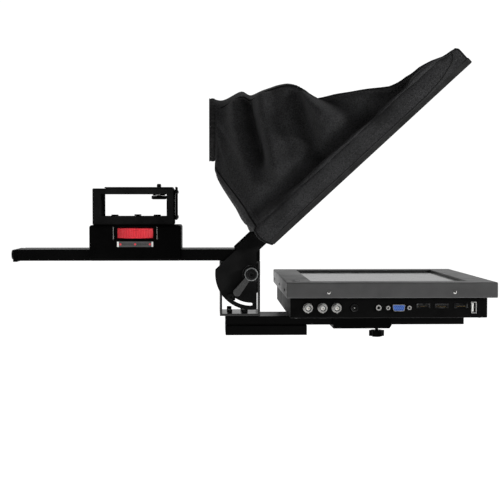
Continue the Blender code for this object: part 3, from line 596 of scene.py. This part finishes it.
def fold_height(x, z, side):
    """How far the folds push a side panel out at (x, z). The far side's folds differ a little."""
    shift, tilt, scale = (0, 0, 1.0) if side == "near" else (9, 0.10, 0.8)
    here = np.array((x + shift + tilt * (z - 240), z))
    total = 0.0
    for line, height, half in FOLDS:
        points = np.array(line, float)
        best, share = 1e9, 0.0
        for index, (start, end) in enumerate(zip(points, points[1:])):
            along = end - start
            part = float(np.clip((here - start) @ along / (along @ along), 0, 1))
            gap = float(np.linalg.norm(here - start - part * along))
            if gap < best:
                best, share = gap, (index + part) / (len(points) - 1)
        fade = smooth_step(1.0, 0.72, share) if height < 0 else smooth_step(1.05, 0.6, share)
        spread = half * (0.75 + 0.5 * share)
        total += scale * height * fade * math.exp(-((best / spread) ** 2))
    return total


def seam_shift(t, side):
    """How far the top or bottom seam lies from the straight line between frame and neck."""
    p = 1 if side == "top" else -1
    point = mouth_point("near", p, HEM_ROWS[-1]).lerp(neck_point("near", p), t)
    if side == "top":
        return Vector((0, 0, on_line(TOP_LINE, point.x) - point.z))
    return Vector((on_line(BOTTOM_LINE, point.z, 1) - point.x, 0, 0))


def between_ends(side, p, t):
    """The straight line from hem to neck, which leaves the hem along the band's own plane."""
    start, end = mouth_point(side, p, HEM_ROWS[-1]), neck_point(side, p)
    point = start.lerp(end, t)
    point.y = start.y + (end.y - start.y) * t**1.4
    return point


def edge_fold(x, z):
    """The roll and the crease beside it that follow the hem, about 45 from the glass."""
    off = (GLASS_CORNER[0] - x) * math.sin(GLASS_TILT) + (z - GLASS_CORNER[1]) * math.cos(GLASS_TILT)
    roll = 3.0 * math.exp(-(((off - 33) / 9) ** 2))
    along = (x - GLASS_CORNER[0]) * math.cos(GLASS_TILT) + (z - GLASS_CORNER[1]) * math.sin(GLASS_TILT)
    depth = 9.0 + 9.0 * min(max(along / HOOD_LENGTH, 0.0), 1.0)
    return roll - depth * math.exp(-(((off - 49) / 9) ** 2))


def hood_point(side, p, t):
    """The sewn shape before it is hung, for t from 0 at the hem to 1 at the neck."""
    point = between_ends(side, p, t)
    slack = 4 * t * (1 - t)
    ends = smooth_step(0.0, 0.05, t) * smooth_step(1.0, 0.93, t)
    if side == "top":
        point += seam_shift(t, "top") * ends
        point.z -= 7 * slack * (1 - p * p) * smooth_step(0.75, 0.4, t)
        point.z += 3.0 * ends * noise.noise(Vector((point.x * 0.03, point.y * 0.02, 3.1)))
    elif side == "bottom":
        point += seam_shift(t, "bottom") * ends * (0.6 + 0.4 * p * p)
    else:
        out = OUT[side]
        point += seam_shift(t, "top") * ends * ((1 + p) / 2) ** 2.2
        point += seam_shift(t, "bottom") * ends * ((1 - p) / 2) ** 2.2
        inner = smooth_step(0.0, 0.06, t) * smooth_step(1.0, 0.90, t) * smooth_step(1.0, 0.9, -p)
        push = 1.25 * fold_height(point.x, point.z, side) + edge_fold(point.x, point.z)
        push *= inner * smooth_step(1.02, 0.9, p)
        push += 2.0 * inner * noise.noise(Vector((point.x * 0.02, out * 4.0, point.z * 0.02)))
        point += Vector((-0.40, out * 0.86, 0.22)) * push
    return point


def hem_start(side, p):
    """The band leaves the yoke's flange free in the middle of the lower edge."""
    if side != "bottom":
        return 0.0
    return 18.8 * (1 - smooth_step(64, 84, abs(p) * HOOD_BOTTOM_HALF))


def corner_sag(side, p, w):
    """The loose cloth at the lower corners hangs a little below the frame."""
    if side == "bottom":
        share = smooth_step(84, 122, abs(p) * HOOD_BOTTOM_HALF)
    elif side in ("near", "far"):
        share = smooth_step(-0.90, -1.0, p)
    else:
        share = 0.0
    drop = 6.5 * share * math.sin(math.pi * min(max((w - 1) / 34, 0), 1))
    x, z = on_glass(-drop, 0)
    return Vector((x - GLASS_CORNER[0], 0, z - GLASS_CORNER[1]))


def make_hood_grid():
    """Rows of points from the hem to the neck's end, and the panel each column belongs to."""
    columns = []
    for side, count in SIDES:
        for step in range(count):
            share = 2 * (step + 0.5) / count - 1
            columns.append((side, share if side in ("near", "top") else -share))
    rows = []
    for w in HEM_ROWS:
        row = []
        for side, p in columns:
            start = hem_start(side, p)
            here = start + (w - HEM_ROWS[0]) / (HEM_ROWS[-1] - HEM_ROWS[0]) * (HEM_ROWS[-1] - start)
            here = max(here, HEM_ROWS[0])
            row.append(mouth_point(side, p, here) + corner_sag(side, p, here))
        rows.append(row)
    for step in range(1, BODY_ROWS + 1):
        t = step / BODY_ROWS
        row = []
        for side, p in columns:
            sag = corner_sag(side, p, HEM_ROWS[-1] + 8 * step) * smooth_step(0.14, 0.0, t)
            row.append(hood_point(side, p, t) + sag)
        rows.append(row)
    neck = Vector((NECK_X, 0, NECK_Z))
    for share in (step / SLEEVE_ROWS for step in range(1, SLEEVE_ROWS + 1)):
        tuck = 1 - 0.045 * math.sin(math.pi * share)
        row = []
        for index, (side, p) in enumerate(columns):
            ruffle = 1 + 0.022 * math.sin(index * 2.05) * share
            point = neck + (neck_point(side, p) - neck) * ruffle * tuck
            row.append(point - Vector((SLEEVE_LENGTH * share, 0, 0)))
        rows.append(row)
    return columns, rows


def hood_object(columns, rows):
    """The cloth as one open tube, with its flat pattern in metres as the UV map 'flat'."""
    shape = bmesh.new()
    grid = [[shape.verts.new(point * MM) for point in row] for row in rows]
    flat = shape.loops.layers.uv.new("flat")
    count = len(columns)
    middle = rows[len(HEM_ROWS)]
    around, down = [0.0], [0.0]
    for step, after in ring_steps(count):
        around.append(around[-1] + (middle[after] - middle[step]).length * MM)
    for upper, lower in zip(rows, rows[1:]):
        down.append(down[-1] + (upper[20] - lower[20]).length * MM)
    for row in range(len(grid) - 1):
        for step in range(count):
            places = ((row, step), (row + 1, step), (row + 1, step + 1), (row, step + 1))
            face = shape.faces.new([grid[r][c % count] for r, c in places])
            for loop, (r, c) in zip(face.loops, places):
                loop[flat].uv = (around[c], down[r])
    bmesh.ops.recalc_face_normals(shape, faces=shape.faces)
    return add_object("hood_cloth", shape, NYLON)


CLOTH_SETTINGS = {
    "quality": 6,
    "mass": 0.22,
    "tension_stiffness": 22,
    "compression_stiffness": 8,
    "shear_stiffness": 4,
    "bending_stiffness": 0.45,
    "tension_damping": 12,
    "compression_damping": 12,
    "bending_damping": 2,
    "air_damping": 4,
    "vertex_group_mass": "held",
    "pin_stiffness": 1.0,
    "shrink_min": -0.012,
    "shrink_max": -0.012,
}


def hang(hood, count):
    """Hangs the sewn shape from its hem and its neck, and keeps each point near where it began."""
    held = hood.vertex_groups.new(name="held")
    weights = [1.0] * (len(HEM_ROWS) - 1) + [0.6] + [0.0] * BODY_ROWS + [1.0] * SLEEVE_ROWS
    for row, weight in enumerate(weights):
        if weight:
            held.add(list(range(row * count, (row + 1) * count)), weight, "REPLACE")
    before = np.array([v.co for v in hood.data.vertices])
    cloth = hood.modifiers.new("hang", "CLOTH")
    for key, value in CLOTH_SETTINGS.items():
        setattr(cloth.settings, key, value)
    cloth.collision_settings.use_collision = False
    cloth.point_cache.frame_end = 30
    for number in range(1, 29):
        scene.frame_set(number)
    graph = bpy.context.evaluated_depsgraph_get()
    hung = hood.evaluated_get(graph).to_mesh()
    after = np.array([v.co for v in hung.vertices])
    hood.evaluated_get(graph).to_mesh_clear()
    hood.modifiers.remove(cloth)
    scene.frame_set(1)
    move = after - before
    far = np.linalg.norm(move, axis=1, keepdims=True)
    limit = MOST_HANG * MM
    move *= limit * np.tanh(far / limit) / np.maximum(far, 1e-9)
    hood.data.vertices.foreach_set("co", (before + move).astype(np.float32).ravel())
    hood.data.update()


def make_hood():
    """The hood's cloth, its columns' places in the panels, and its grid of points."""
    columns, rows = make_hood_grid()
    hood = hood_object(columns, rows)
    hang(hood, len(columns))
    points = [v.co.copy() for v in hood.data.vertices]
    fine = hood.modifiers.new("fine", "SUBSURF")
    fine.levels = fine.render_levels = 1
    thick = hood.modifiers.new("cloth", "SOLIDIFY")
    thick.thickness = CLOTH_THICKNESS * MM
    thick.offset = 0.0
    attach(hood, "hood")
    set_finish(hood, "nylon")
    panels = [f"hood_{side}_panel" for side, _ in SIDES]
    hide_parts(*panels, "hood_neck_sleeve", "hood_neck_elastic")
    count = len(columns)
    grid = [points[row * count : (row + 1) * count] for row in range(len(rows))]
    return hood, columns, grid


hood_cloth, hood_columns, hood_grid = make_hood()


def outward(grid, row, column):
    """The cloth's outward normal at a grid point."""
    count = len(grid[0])
    along = grid[min(row + 1, len(grid) - 1)][column] - grid[max(row - 1, 0)][column]
    around = grid[row][(column + 1) % count] - grid[row][column - 1]
    normal = around.cross(along).normalized()
    centre = Vector((60, 0, 250)) * MM
    return normal if normal.dot(grid[row][column] - centre) > 0 else -normal


def add_tube(shape, path, normals, radius, squash):
    """A six-sided tube along a path, wider across the cloth than it stands off it."""
    rings = []
    for index, (point, normal) in enumerate(zip(path, normals)):
        along = path[min(index + 1, len(path) - 1)] - path[max(index - 1, 0)]
        across = along.normalized().cross(normal).normalized()
        ring = []
        for u, v in polygon(radius, 6):
            ring.append(shape.verts.new(point + (across * u + normal * v * squash) * MM))
        rings.append(ring)
    bridge(shape, rings)
    end_caps(shape, rings)


def add_stitches(shape, points, faces):
    """Short thread stitches along a path on the cloth, given the path's normals."""
    steps = [(b - a).length for a, b in zip(points, points[1:])]
    pitch = (STITCH + STITCH_GAP) * MM
    for number in range(int(sum(steps) / pitch)):
        ends = []
        for place in (number * pitch, number * pitch + STITCH * MM):
            index = 0
            while index < len(steps) - 1 and place > steps[index]:
                place -= steps[index]
                index += 1
            share = min(place / max(steps[index], 1e-9), 1.0)
            normal = faces[index].lerp(faces[index + 1], share).normalized()
            ends.append((points[index].lerp(points[index + 1], share), normal))
        (start, up), (end, _) = ends
        along = (end - start).normalized()
        across = along.cross(up).normalized() * 0.28 * MM
        lift = up * 0.42 * MM
        base = up * 0.30 * MM
        corners = []
        for point, inset in ((start, 0.2), (end, -0.2)):
            point = point + base
            corners.append([point - across, point + across])
            corners.append([point + across * 0.6 + lift + along * inset * MM])
            corners[-1].append(point - across * 0.6 + lift + along * inset * MM)
        rings = [[shape.verts.new(v) for v in (*a, *b)] for a, b in (corners[:2], corners[2:])]
        bridge(shape, rings[::-1])
        end_caps(shape, rings)


def panel_edges():
    """The four columns where one panel is sewn to the next."""
    sides = [side for side, _ in hood_columns]
    return [column for column, side in enumerate(sides) if side != sides[column - 1]]


def surface_line(places):
    """Points and outward normals of the cloth at the given (row, column) places."""
    points = [hood_grid[row][column] for row, column in places]
    return points, [outward(hood_grid, row, column) for row, column in places]


def mouth_columns():
    """The columns of the hem that is bound and stitched: all but the bottom panel's."""
    return [column for column, (side, _) in enumerate(hood_columns) if side != "bottom"]


def make_seams():
    """Piped seams between the panels."""
    shape = bmesh.new()
    for column in panel_edges():
        points, normals = [], []
        for row in range(len(hood_grid) - SLEEVE_ROWS - 1):
            first, second = hood_grid[row][column - 1], hood_grid[row][column]
            normal = outward(hood_grid, row, column) + outward(hood_grid, row, column - 1)
            normal.normalize()
            points.append((first + second) / 2 + normal * 0.5 * MM)
            normals.append(normal)
        add_tube(shape, points, normals, 1.15, 0.75)
    return piece("hood_piping", shape, PIPING, "hood", "nylon")


def make_corner_seams():
    """The raised seam along each side's band, which curves up across the band at the top corner."""
    shape = bmesh.new()
    line = ((20, 6.4), (180, 6.4), (248, 6.5), (268, 8.2), (281, 10.5), (294, 14.5), (302, 19.5), (304, 24))
    lengths = np.linspace(line[0][0], line[-1][0], 72)
    heights = np.interp(lengths, *zip(*line))
    for side, out in OUT.items():
        points = []
        for u, w in zip(lengths, heights):
            p = 2 * (float(u) + CLOTH_GAP) / (HOOD_LENGTH + 1.0 + CLOTH_GAP) - 1
            points.append((mouth_point(side, p, float(w)) + Vector((0, 0.7 * out, 0))) * MM)
        add_tube(shape, points, [Vector((0, out, 0))] * len(points), 0.75, 0.7)
    return piece("hood_corner_seams", shape, TAPE, "hood", "nylon")


def make_stitching():
    """Two rows of stitches along the hem, and one on both sides of each seam."""
    shape = bmesh.new()
    for row in (4, 1):
        add_stitches(shape, *surface_line([(row, column) for column in mouth_columns()]))
    last = len(hood_grid) - SLEEVE_ROWS - 2
    for column in panel_edges():
        for beside in (1, -2):
            here = (column + beside) % len(hood_columns)
            add_stitches(shape, *surface_line([(row, here) for row in range(6, last)]))
    return piece("hood_stitching", shape, THREAD, "hood", "nylon", angle=20)


def make_binding():
    """A folded tape over the mouth's raw edge."""
    shape = bmesh.new()
    path, normals = surface_line([(0, column) for column in mouth_columns()])
    profile = ((-0.9, -0.6), (-0.9, 5.2), (-0.2, 5.9), (0.75, 5.9))
    profile += ((1.25, 5.3), (1.25, -0.4), (0.7, -1.1), (-0.4, -1.1))
    tilt = Vector((-math.sin(GLASS_TILT), 0, math.cos(GLASS_TILT)))
    rings = []
    for point, normal in zip(path, normals):
        side = normal - tilt * normal.dot(tilt)
        side.normalize()
        rings.append([shape.verts.new(point + (side * out + tilt * up) * MM) for out, up in profile])
    bridge(shape, rings)
    end_caps(shape, rings)
    bmesh.ops.recalc_face_normals(shape, faces=shape.faces)
    return piece("hood_binding", shape, TAPE, "hood", "nylon")


def make_neck_band():
    """The elastic in its casing round the neck, gathered into small pleats."""
    shape = bmesh.new()
    steps, sides = 240, 10
    rings = []
    for step in range(steps):
        turn = 2 * math.pi * step / steps
        pleat = math.sin(turn * 42) + 0.4 * math.sin(turn * 67 + 1.0)
        ring = []
        for side in range(sides):
            roll = 2 * math.pi * side / sides
            radius = NECK_RADIUS - 1.4 + 0.5 * pleat + 1.7 * math.cos(roll)
            x = NECK_X - 6.0 + 3.6 * math.sin(roll)
            ring.append(shape.verts.new(round_neck(turn, radius, x) * MM))
        rings.append(ring)
    close_loop(shape, rings)
    return piece("hood_neck_band", shape, TAPE, "hood", "nylon", angle=60)


seams, stitches, binding, neck_band = make_seams(), make_stitching(), make_binding(), make_neck_band()
corner_seams = make_corner_seams()


# Detail pieces


def add_disc(shape, centre, direction, radius, height, bevel=0.2, steps=24):
    """A low button with a softened top edge, standing on centre."""
    profile = ((0, height), (radius - bevel, height), (radius, height - bevel), (radius, 0), (0, 0))
    add_turned(shape, profile, stand(centre, direction), steps)


def add_ring(shape, centre, direction, inner, outer, low, high, steps=32):
    """A ring from height low to high above centre."""
    profile = ((inner, high), (outer, high), (outer, low), (inner, low), (inner, high))
    add_turned(shape, profile, stand(centre, direction), steps)


def add_cross_screw(shape, dark, centre, direction, radius, height):
    """A domed screw head in shape, and in dark a flat cross, raised a hair above the dome, whose dark
    colour is painted shade for its driver recess.
    """
    profile = ((0, height), (0.55 * radius, 0.92 * height), (0.9 * radius, 0.5 * height))
    profile += ((radius, 0), (0, 0))
    add_turned(shape, profile, stand(centre, direction), 24)
    arm, half = 0.55 * radius, 0.13 * radius
    cross = [(arm, half), (half, half), (half, arm), (-half, arm), (-half, half), (-arm, half)]
    cross += [(-x, -y) for x, y in cross]
    add_prism(dark, cross, 0.80 * height, 1.04 * height, stand(centre, direction))


def make_wheel():
    """The thumbwheel's ribbed rim, its web and its hub."""
    ribs = 132
    rib_shape = ((0.05, 0.9), (0.28, 0.0), (0.62, 0.0), (0.85, 0.9))
    outline = [(2 * math.pi * (rib + u) / ribs, depth) for rib in range(ribs) for u, depth in rib_shape]
    low, high = WHEEL_Z
    edge, hub, bore = WHEEL_RADIUS, 8.0, 5.2
    sections = ((hub, low), (edge - 1.0, low), (edge, low + 0.8), (edge, high - 0.8))
    sections += ((edge - 1.0, high), (hub, high), (bore, high), (bore, low))
    shape = bmesh.new()
    rings = []
    for radius, z in sections:
        ring = [(turn, radius - depth if radius > hub else radius) for turn, depth in outline]
        ring = [(reach * math.cos(turn), reach * math.sin(turn)) for turn, reach in ring]
        rings.append(add_outline(shape, ring, z, stand((WHEEL_X, 0, 0), "+Z")))
    close_loop(shape, rings)
    wheel = piece("wheel_ribbed", shape, RED, "thumbwheel_body", angle=30)
    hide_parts("thumbwheel")


def make_index_marks():
    """Three red dots and a fine scale on the index plate."""
    front, middle = -43.3, 116.5
    dots, ticks, ends = (bmesh.new() for _ in range(3))
    for offset in (-18.6, 0.0, 18.6):
        add_disc(dots, (WHEEL_X + offset, front, middle), "-Y", 1.3, 0.25, 0.1)
    for step in range(-14, 15):
        if abs(step) in (0, 14) or step % 14 in (1, 13):
            continue
        tall = 1.4 if step % 5 == 0 else 0.8
        x = WHEEL_X + 1.3 * step
        add_block(ticks, (x - 0.15, front - 0.12, middle - tall), (x + 0.15, front, middle + tall))
    for side in (-1, 1):
        x = WHEEL_X + 21.6 * side
        add_block(ends, (x - 1.1, front - 0.3, middle - 3.3), (x + 1.1, front, middle + 3.3), 0.25)
    piece("index_dots", dots, RED, "camera_sled")
    piece("index_scale", ticks, DARK_PLASTIC_AND_HOLE_SHADE, "camera_sled", "black_paint")
    piece("index_ends", ends, WHITE, "camera_sled", "grey_plastic")


def make_camera_screw():
    """The knurled camera screw with its coin slot, whose shade is painted as a thin dark block, and its 1/4
    inch thread.
    """
    shape = bmesh.new()
    outer, inner = polygon(9.7, 72), polygon(9.2, 72)
    knurl = [(outer if step % 2 else inner)[step] for step in range(72)]
    place = stand((SCREW_X, 0, SCREW_BOTTOM), "+Z")
    add_prism(shape, knurl, 0.6, 4.6, place)
    add_turned(shape, ((0, 0.6), (8.9, 0.6), (8.3, 0), (0, 0)), place, 36)
    thread = []
    for turn in range(11):
        height = 18.8 - 1.27 * turn
        thread += [(2.6, height), (3.1, height - 0.63)]
    profile = [(0, 20.0), (2.2, 20.0), *thread, (2.6, 4.9), (2.6, 4.6), (0, 4.6)]
    add_turned(shape, profile, place, 20)
    screw = piece("camera_screw_knurled", shape, BLACK_STEEL, "camera_screw_body")
    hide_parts("camera_screw")
    # A dark block set into the head paints the shade of the coin slot.
    slot = bmesh.new()
    x, z = SCREW_X, SCREW_BOTTOM
    add_block(slot, (x - 7.8, -0.8, z - 0.05), (x + 7.8, 0.8, z + 0.5))
    piece("camera_screw_slot_shade", slot, DARK_PLASTIC_AND_HOLE_SHADE, "camera_screw_body")


def make_sled_details():
    """Screws at both ends of the sled and riser, and the bright linings of the wheel's windows."""
    heads, dark = bmesh.new(), bmesh.new()
    for y in (-22, 22):
        for z in (150.3, 183.0):
            add_cross_screw(heads, dark, (-113.9, y, z), "+X", 2.6, 1.2)
    for y in (-24, 24):
        add_cross_screw(heads, dark, (-224.0, y, 122), "-X", 3.0, 1.2)
    piece("sled_screws", heads, BLACK_STEEL, "camera_sled")
    # The dark crosses paint the shade of the screws' driver recesses.
    piece("sled_screw_recess_shade", dark, DARK_PLASTIC_AND_HOLE_SHADE, "camera_sled")
    lining = bmesh.new()
    for side in (-1, 1):
        x = WHEEL_X + side * (WINDOW_HALF - 0.5)
        for y in (-41.8, 41.8):
            front, back = sorted((y, y * 0.96))
            add_block(lining, (x - 0.4, front, 122.4), (x + 0.4, back, 138.4), 0.1)
    piece("window_linings", lining, BRIGHT, "camera_sled")


def add_bnc(metal, white, gold, dark, x):
    """The inside of a BNC jack: insulator, contact, a dark ring of painted shade deep in the gap round the
    insulator, and the two lugs of its bayonet.
    """
    seat = (x, -CASE_HALF, PORT_Z)
    profile = ((1.0, 9.4), (2.2, 9.4), (2.5, 9.1), (2.5, 2.3), (1.0, 2.3), (1.0, 9.4))
    add_turned(white, profile, stand(seat, "-Y"), 24)
    add_ring(gold, seat, "-Y", 0.92, 1.0, 2.4, 9.6, 16)
    # Painted shade: a dark ring at the bottom of the gap round the insulator.
    add_ring(dark, seat, "-Y", 2.5, 3.6, 2.4, 3.4, 28)
    for side, direction in ((-1, "-Z"), (1, "+Z")):
        lug = (x, -CASE_HALF - 8.0, PORT_Z + 4.7 * side)
        add_disc(metal, lug, direction, 0.95, 1.0, 0.2, 14)
    for height in (3.2, 4.0):
        add_ring(metal, seat, "-Y", 4.7, 5.05, height, height + 0.35, 28)


def d_outline(width, height, corner, slope):
    """A D-shaped outline, wider at the top, with rounded corners."""
    corners = (
        (width / 2, height / 2),
        (-width / 2, height / 2),
        (-width / 2 + slope, -height / 2),
        (width / 2 - slope, -height / 2),
    )
    outline = []
    for index, place in enumerate(corners):
        here = Vector(place)
        before = (Vector(corners[index - 1]) - here).normalized()
        after = (Vector(corners[(index + 1) % 4]) - here).normalized()
        for share in (0, 0.25, 0.5, 0.75, 1):
            point = here + (before * (1 - share) + after * share) * corner
            point -= (before + after) * corner * share * (1 - share)
            outline.append((point.x, point.y))
    return outline


def add_shell(shape, outer, inner, low, high, place):
    """A thin wall between two outlines, from height low to high."""
    sections = ((outer, low), (outer, high), (inner, high), (inner, low))
    rings = [add_outline(shape, outline, height, place) for outline, height in sections]
    close_loop(shape, rings)


def make_vga():
    """The VGA port: a steel D shell, a blue block with fifteen contact holes whose shade is painted as dark
    spots, and two jack screws whose bores' shade is painted as dark discs.
    """
    x, z, front = VGA_X, PORT_Z, -CASE_HALF - 5.0
    place = stand((x, front, z), "-Y")
    shell, block, holes = (bmesh.new() for _ in range(3))
    outer, inner = d_outline(15.4, 7.6, 1.8, 1.3), d_outline(14.6, 6.8, 1.5, 1.25)
    add_shell(shell, outer, inner, -12.0, 0.0, place)
    add_prism(block, d_outline(14.2, 6.4, 1.4, 1.2), -11.5, -0.25, place, 0.15)
    # Dark pins, just proud of the block, paint the shade inside the contact holes.
    for row, shift in ((-1.98, 0.0), (0.0, 1.14), (1.98, 0.0)):
        for step in range(5):
            u = 2.29 * (step - 2) + shift - 0.38
            add_prism(holes, [(u + a, row + b) for a, b in polygon(0.5, 10)], -1.5, -0.20, place)
    made = piece("vga_shell", shell, BRIGHT, "monitor")
    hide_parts("vga_port")
    piece("vga_block", block, BLUE, "monitor")
    piece("vga_contact_hole_shade", holes, DARK_PLASTIC_AND_HOLE_SHADE, "monitor")
    nuts, bores = bmesh.new(), bmesh.new()
    for side in (-12.65, 12.65):
        seat = (x + side, -CASE_HALF, z)
        add_prism(nuts, polygon(2.75, 6, 0.3), 0.0, 4.6, stand(seat, "-Y"), 0.3)
        # A dark disc on each jack screw paints the shade inside its threaded bore.
        add_disc(bores, (x + side, -CASE_HALF - 4.55, z), "-Y", 1.35, 0.12, 0.03, 16)
    piece("vga_jack_screws", nuts, BRIGHT, "monitor")
    piece("vga_jack_bore_shade", bores, DARK_PLASTIC_AND_HOLE_SHADE, "monitor")


def make_sockets():
    """Insides of the BNC, DC, audio, HDMI and USB sockets, with painted shade deep in the BNC gaps and
    behind the USB tongue, and the HDMI ports' rims.
    """
    metal, white, gold, dark, rims = (bmesh.new() for _ in range(5))
    wall = -CASE_HALF
    for x in BNC_X:
        add_bnc(metal, white, gold, dark, x)
    pin = ((0, 0.6), (0.7, 0.3), (0.9, -0.2), (0.9, -5.9), (0, -5.9))
    add_turned(metal, pin, stand((DC_JACK_X, wall, PORT_Z), "-Y"), 16)
    add_ring(metal, (AUDIO_JACK_X, wall, PORT_Z), "-Y", 1.95, 3.3, 1.3, 1.9, 28)
    for x in HDMI_X:
        place = stand((x, wall - 0.6, 45.9), "-Y")
        outer, inner = d_outline(15.8, 5.2, 0.6, 1.6), d_outline(14.8, 4.2, 0.5, 1.5)
        add_shell(rims, outer, inner, 0.0, 0.25, place)
        add_block(dark, (x - 6.2, wall + 0.2, 45.4), (x + 6.2, wall + 5.6, 46.7), 0.2)
        for step in range(-6, 7):
            u = x + 0.9 * step
            add_block(gold, (u - 0.2, wall + 0.4, 45.28), (u + 0.2, wall + 5.0, 45.4))
    piece("hdmi_rims", rims, BLACK_STEEL, "monitor")
    add_block(white, (240.9, wall + 0.2, 38.9), (242.4, wall + 7.2, 49.1), 0.2)
    # Painted shade: a thin dark sheet behind the USB tongue.
    add_block(dark, (240.5, wall + 7.3, 38.2), (244.9, wall + 7.6, 49.8))
    for step in range(4):
        z = 40.4 + 2.4 * step
        add_block(gold, (242.4, wall + 0.6, z - 0.5), (242.55, wall + 6.5, z + 0.5))
    piece("socket_metal", metal, BRIGHT, "monitor")
    piece("socket_insulators", white, WHITE, "monitor", "grey_plastic")
    piece("socket_contacts", gold, GOLD, "monitor", "bright_steel")
    # The dark pieces are the HDMI tongues' black plastic, and painted shade in the BNC gaps and behind the
    # USB tongue.
    piece("socket_tongues_and_shade", dark, DARK_PLASTIC_AND_HOLE_SHADE, "monitor")


def make_monitor_screws():
    """Cross-recessed screws round the bezel and under the case."""
    heads, dark = bmesh.new(), bmesh.new()
    for x in (68.6, 218.8):
        for y, direction in ((-BEZEL_HALF, "-Y"), (BEZEL_HALF, "+Y")):
            add_cross_screw(heads, dark, (x, y, BEZEL_SCREW_Z), direction, 2.3, 0.7)
    piece("bezel_screws", heads, BRIGHT, "monitor")
    ends = bmesh.new()
    for y in (-110, 0, 110):
        add_cross_screw(ends, dark, (18.7, y, BEZEL_SCREW_Z), "-X", 2.3, 0.7)
        add_cross_screw(ends, dark, (270.5, y, BEZEL_SCREW_Z), "+X", 2.3, 0.7)
    for x in (31.0, 251.5):
        for y in (-134, 134):
            add_cross_screw(ends, dark, (x, y, CASE_BOTTOM), "-Z", 2.8, 0.9)
    piece("case_screws", ends, BLACK_STEEL, "monitor")
    # The dark crosses paint the shade of the screws' driver recesses.
    piece("screw_recess_shade", dark, DARK_PLASTIC_AND_HOLE_SHADE, "monitor")


def make_case_details():
    """Louvres on the far wall; thin dark sheets between them and under the case, which paint the shade
    inside the vents; and a blank rating plate.
    """
    vents = bmesh.new()
    wall, below = CASE_HALF, CASE_BOTTOM
    # Thin dark sheets paint the shade inside the vent slots.
    for step in range(24):
        x = 60 + 6.4 * step
        add_block(vents, (x - 1.1, wall, 38.0), (x + 1.1, wall + 0.12, 50.0))
    for step in range(16):
        x = 176 + 4.6 * step
        for y in (-88, 88):
            add_block(vents, (x - 0.9, y - 22, below - 0.12), (x + 0.9, y + 22, below))
    piece("case_vent_shade", vents, DARK_PLASTIC_AND_HOLE_SHADE, "monitor", "case_plastic")
    ribs = bmesh.new()
    for step in range(25):
        x = 56.8 + 6.4 * step
        add_block(ribs, (x - 1.6, wall, 37.0), (x + 1.6, wall + 0.7, 51.0), 0.25)
    for z in (36.4, 51.6):
        add_block(ribs, (54.6, wall, z - 0.6), (212.6, wall + 0.9, z + 0.6), 0.25)
    piece("case_louvres", ribs, CASE, "monitor")
    plate = bmesh.new()
    add_block(plate, (96, 104, below - 0.35), (150, 132, below), 0.1)
    piece("case_rating_plate", plate, GREY, "monitor")


def make_bezel_marks():
    """The power button's ring, a generic power mark beside it, and a small status lamp."""
    marks, lamp, cap = (bmesh.new() for _ in range(3))
    x, z = 31.5, BEZEL_TOP
    outer, inner = (polygon(radius, 30, math.radians(30))[:26] for radius in (2.2, 1.8))
    add_prism(marks, outer + inner[::-1], 0.0, 0.06, stand((x, -106.5, z), "+Z"))
    add_block(marks, (x + 0.5, -106.7, z), (x + 2.5, -106.3, z + 0.06))
    add_disc(lamp, (x, -98.0, z - 0.1), "+Z", 1.1, 0.45, 0.2, 20)
    add_ring(cap, (x, -118.0, z), "+Z", 4.5, 5.1, -0.1, 0.25, 32)
    piece("power_mark", marks, WHITE, "monitor", "grey_plastic")
    piece("status_lamp", lamp, GLASS, "monitor")
    piece("button_ring", cap, BLACK_STEEL, "monitor")


def make_lever_details():
    """The rim round the lever's hub, in a light grey that paints its highlight, and a thin dark ring that
    paints the shade of the recess inside it.
    """
    x, z = PIVOT
    rim, mark = bmesh.new(), bmesh.new()
    profile = ((7.0, 0.2), (7.6, 0.7), (8.2, 0.5), (8.6, -0.3), (8.6, -2.2), (7.0, -0.6), (7.0, 0.2))
    add_turned(rim, profile, stand((x, -50.0, z), "-Y"), 40)
    # Painted highlight: the rim's light grey stands in for the shine on the dark lever's rim.
    piece("lever_rim_painted_highlight", rim, GREY, "tilt_lever_body", "bright_steel")
    # Painted shade: a thin dark ring stands in for the recess in the hub.
    add_ring(mark, (x, -50.0, z), "-Y", 4.9, 7.0, 0.0, 0.06, 40)
    piece("lever_recess_painted_shade", mark, DARK_PLASTIC_AND_HOLE_SHADE, "tilt_lever_body")


def make_frame_details():
    """Screws in the far end of the lower rail, and the clamp knob's cap."""
    heads, dark = bmesh.new(), bmesh.new()
    for y in (-22, 22):
        add_cross_screw(heads, dark, (254.0, y, 18.6), "+X", 2.8, 1.1)
    piece("rail_screws", heads, BLACK_STEEL, "frame")
    # The dark crosses paint the shade of the screws' driver recesses.
    piece("rail_screw_recess_shade", dark, DARK_PLASTIC_AND_HOLE_SHADE, "frame")
    cap = bmesh.new()
    add_turned(cap, ((0, 1.0), (5.6, 1.0), (6.2, 0.5), (6.2, 0), (0, 0)), stand((146.0, 0, -5.0), "-Z"))
    piece("clamp_knob_cap", cap, CASE, "clamp_knob")


make_wheel()
make_index_marks()
make_camera_screw()
make_sled_details()
make_vga()
make_sockets()
make_monitor_screws()
make_case_details()
make_bezel_marks()
make_lever_details()
make_frame_details()
